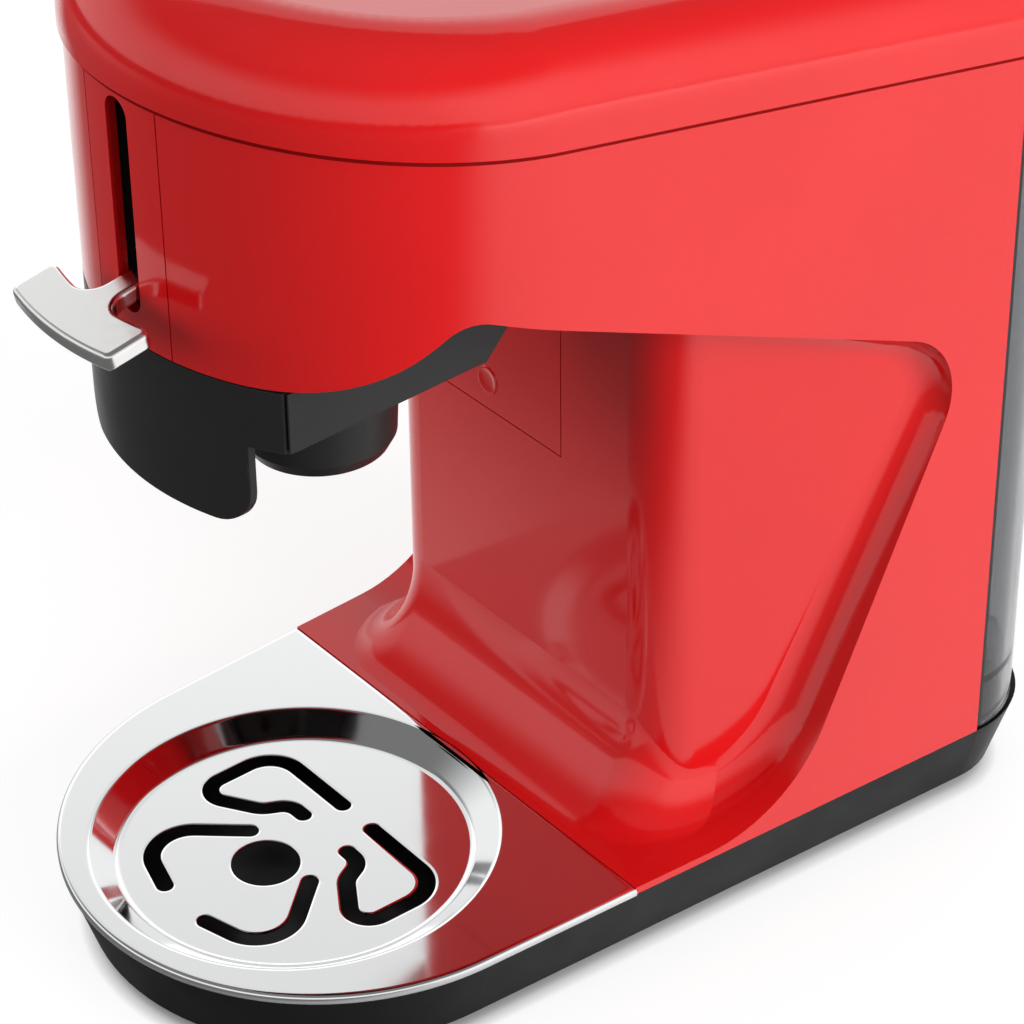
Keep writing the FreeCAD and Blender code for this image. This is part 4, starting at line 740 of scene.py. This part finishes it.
# %% [markdown]
# ## Column foot
# The red moulding runs from the deck into the column in one soft sweep. Its line follows the column's
# foot: along the front, round the corner and along the side. With every place go the way out and the
# sweep's width and height there. It is wide and tall in front, and smaller from the corners on, where
# the deck has less room.

# %% Column foot line
COLUMN_HALF = 52.0
COLUMN_FLARE = math.radians(13.0)
COLUMN_ROUND = 14.0
FOOT_FRONT = Vector((20.5, 30.0))
FOOT_SIDE = Vector((12.0, 13.0))
FRONT_STEPS = 12
CORNER_STEPS = 24
SIDE_STEPS = 8
SIDE_STEP = 4.0
side_normal = Vector((math.cos(COLUMN_FLARE), -math.sin(COLUMN_FLARE)))
along_side = Vector((math.sin(COLUMN_FLARE), math.cos(COLUMN_FLARE)))
corner_turn = math.pi / 2 - COLUMN_FLARE
arc_start = COLUMN_HALF - COLUMN_ROUND * math.tan(corner_turn / 2)
arc_centre = Vector((arc_start, hatch_low.y + COLUMN_ROUND))
foot_run = []
for step in range(FRONT_STEPS):
    foot_run.append((Vector((arc_start * step / FRONT_STEPS, hatch_low.y)), Vector((0, -1)), FOOT_FRONT))
for step in range(CORNER_STEPS + 1):
    share = step / CORNER_STEPS
    turn = corner_turn * share
    outward = Vector((math.sin(turn), -math.cos(turn)))
    size = FOOT_FRONT.lerp(FOOT_SIDE, share * share * (3 - 2 * share))
    foot_run.append((arc_centre + outward * COLUMN_ROUND, outward, size))
arc_end = foot_run[-1][0]
for step in range(1, SIDE_STEPS + 1):
    foot_run.append((arc_end + along_side * SIDE_STEP * step, side_normal, FOOT_SIDE))
print("places along half the foot:", len(foot_run))

# %% [markdown]
# At each place a quarter of an ellipse is drawn from the deck up to the column, and neighbours are
# bridged. A rounding on the solid would be the usual way, but it keeps one radius, and this sweep
# changes its size.

# %% Column foot
FOOT_SINK = 0.08
FOOT_STEPS = 20


def foot_curve(place, outward, size, side):
    """A quarter of an ellipse from the deck up to the column, sunk slightly into both."""
    points = []
    for step in range(FOOT_STEPS + 1):
        turn = math.pi / 2 * step / FOOT_STEPS
        spot = place + outward * (size.x * (1 - math.sin(turn)) - FOOT_SINK)
        height = PLATE_TOP + size.y * (1 - math.cos(turn)) - FOOT_SINK
        points.append((side * spot.x, spot.y, height))
    return points


bm = bmesh.new()
curves = [foot_curve(*station, -1) for station in foot_run[:0:-1]]
curves += [foot_curve(*station, 1) for station in foot_run]
skin(bm, [chain(bm, curve) for curve in curves])
column_foot = finish_piece(bm, "column_foot", red_gloss, "machine")
print("column foot faces", len(column_foot.data.polygons))

# %% [markdown]
# ## Edges that catch the light
# Moulded and cast pieces have no knife edges. A small rounding on the solids' sharp edges draws the
# thin bright lines that the eye reads as plastic or metal.

# %% Edge roundings
EDGE_RADII = {
    "group_housing": 0.25,
    "spout": 0.4,
    "base_pan": 0.5,
    "top_cover": 0.4,
    "tank_lid": 0.4,
    "slot_panel": 0.3,
    "column_panel": 0.25,
}
LEVER_RADIUS = 0.8
for name, radius in EDGE_RADII.items():
    round_edges(nodes[name], radius)
round_edges(nodes["lever_handle"], LEVER_RADIUS, steps=1)
print("rounded", len(EDGE_RADII) + 1, "solids")

# %% [markdown]
# ## Studio
# The picture has a white sweep. A ray from the camera, straight or through the tank, meets all of it. A
# mirrored ray meets only the share that the place mirrored there should give, so that polished faces
# show bright and dark fields. The Light Path node tells these rays apart.

# %% White sweep
def combine(tree, operation, first, second):
    """Joins a socket with another socket or a number in a Math node."""
    node = tree.nodes.new("ShaderNodeMath")
    node.operation = operation
    tree.links.new(first, node.inputs[0])
    if isinstance(second, float):
        node.inputs[1].default_value = second
    else:
        tree.links.new(second, node.inputs[1])
    return node.outputs["Value"]


def background_share(tree, mirrored):
    """How much of the white sweep a ray meets: all of it directly or through glass, some of it mirrored."""
    path = tree.nodes.new("ShaderNodeLightPath")
    direct = combine(tree, "MAXIMUM", path.outputs["Is Camera Ray"], path.outputs["Is Transmission Ray"])
    share = tree.nodes.new("ShaderNodeMath")
    share.operation = "MULTIPLY_ADD"
    share.use_clamp = True
    tree.links.new(path.outputs["Is Glossy Ray"], share.inputs[0])
    tree.links.new(mirrored, share.inputs[1])
    tree.links.new(direct, share.inputs[2])
    return share.outputs["Value"]


print("rays can be told apart")

# %% [markdown]
# The floor is one large square a hair below the machine. It is grey to light that falls on it, and
# darker in front, so that the red nose mirrors a dark field there, as in front of a dark card.

# %% Floor
FLOOR_HALF = 6.0
FLOOR_DROP = 0.0002
CARD_SPAN = (-0.16, 0.02)
bm = bmesh.new()
bmesh.ops.create_grid(bm, x_segments=1, y_segments=1, size=FLOOR_HALF)
floor_mesh = bpy.data.meshes.new("floor")
bm.to_mesh(floor_mesh)
bm.free()
floor = bpy.data.objects.new("floor", floor_mesh)
floor.location.z = -FLOOR_DROP
scene.collection.objects.link(floor)
floor_finish, tree, shader = new_finish("floor_white", (0.40, 0.40, 0.40), 0.8)
floor_mesh.materials.append(floor_finish)
place = tree.nodes.new("ShaderNodeTexCoord")
along = tree.nodes.new("ShaderNodeVectorMath")
along.operation = "DOT_PRODUCT"
along.inputs[1].default_value = (0.0, 1.0, 0.0)
tree.links.new(place.outputs["Object"], along.inputs[0])
card = map_range(tree, along.outputs["Value"], CARD_SPAN, (0.0, 1.0), smooth=True)
shade = map_range(tree, card, (0.0, 1.0), (0.15, 0.40))
tree.links.new(shade, shader.inputs["Base Color"])
print("floor of", 2 * FLOOR_HALF, "metres")

# %% [markdown]
# Seen directly, the floor glows just enough to stay white under weak lights. The glow fades right
# beside the base, where the contact shadow lies: an Ambient Occlusion node measures how closed in each
# spot is.

# %% Floor glow
CONTACT_REACH = 0.005
CONTACT_POWER = 2.0
lift = map_range(tree, card, (0.0, 1.0), (0.88, 0.70))
glow = combine(tree, "MULTIPLY", background_share(tree, card), lift)
nearby = tree.nodes.new("ShaderNodeAmbientOcclusion")
nearby.samples = 16
nearby.inputs["Distance"].default_value = CONTACT_REACH
contact = combine(tree, "POWER", nearby.outputs["AO"], CONTACT_POWER)
shader.inputs["Emission Color"].default_value = (1.0, 1.0, 1.0, 1.0)
tree.links.new(combine(tree, "MULTIPLY", glow, contact), shader.inputs["Emission Strength"])
print("contact shadow within", CONTACT_REACH, "metres")

# %% [markdown]
# The sky is white to the camera. Mirrored, it is white up to some height above the horizon and dim
# further up, so the top of the head stays a deep red while the chrome stays bright. For the light that
# it sheds it is dim.

# %% Sky
HORIZON_SPAN = (0.35, 0.70)
DIM_SKY = 0.20
world = bpy.data.worlds.new("studio_sky")
world.use_nodes = True
scene.world = world
tree = world.node_tree
sky = tree.nodes["Background"]
sky.inputs["Color"].default_value = (1.0, 1.0, 1.0, 1.0)
place = tree.nodes.new("ShaderNodeTexCoord")
parts = tree.nodes.new("ShaderNodeSeparateXYZ")
tree.links.new(place.outputs["Generated"], parts.inputs["Vector"])
horizon = map_range(tree, parts.outputs["Z"], HORIZON_SPAN, (1.0, 0.0), smooth=True)
level = map_range(tree, background_share(tree, horizon), (0.0, 1.0), (DIM_SKY, 1.0))
tree.links.new(level, sky.inputs["Strength"])
print("sky set up")

# %% [markdown]
# ## Lights
# A large light on the right brightens the side wall. One behind on the left is mirrored by the drip
# plate and the lever. Weak ones fill the top, the front and the nose. All but the one behind are hidden
# from mirrored rays, so that they leave no bright squares on the red gloss.

# %% Lights
def soft_light(name, place, aim, width, height, power, mirrored=True):
    """A rectangular studio light turned towards a point."""
    data = bpy.data.lights.new(name, "AREA")
    data.shape = "RECTANGLE"
    data.size = width
    data.size_y = height
    data.energy = power
    lamp = bpy.data.objects.new(name, data)
    lamp.location = place
    direction = Vector(aim) - Vector(place)
    lamp.rotation_euler = direction.to_track_quat("-Z", "Y").to_euler()
    lamp.visible_glossy = mirrored
    scene.collection.objects.link(lamp)


soft_light("side_light", (1.5, 0.35, 0.55), (0, 0, 0.12), 1.4, 1.2, 35.0, mirrored=False)
soft_light("rear_light", (-1.4, 0.85, 1.4), (0, -0.07, 0.1), 2.2, 1.5, 6.5)
soft_light("top_light", (0.1, -0.2, 1.6), (0, 0, 0.1), 1.6, 1.6, 6.0, mirrored=False)
soft_light("front_light", (-1.1, -1.0, 0.35), (0, 0, 0.1), 1.0, 0.6, 12.0, mirrored=False)
soft_light("nose_light", (-0.1, -1.5, 0.6), (0, 0, 0.18), 0.8, 0.6, 3.5, mirrored=False)
scene.view_settings.view_transform = "Standard"
print("studio ready")
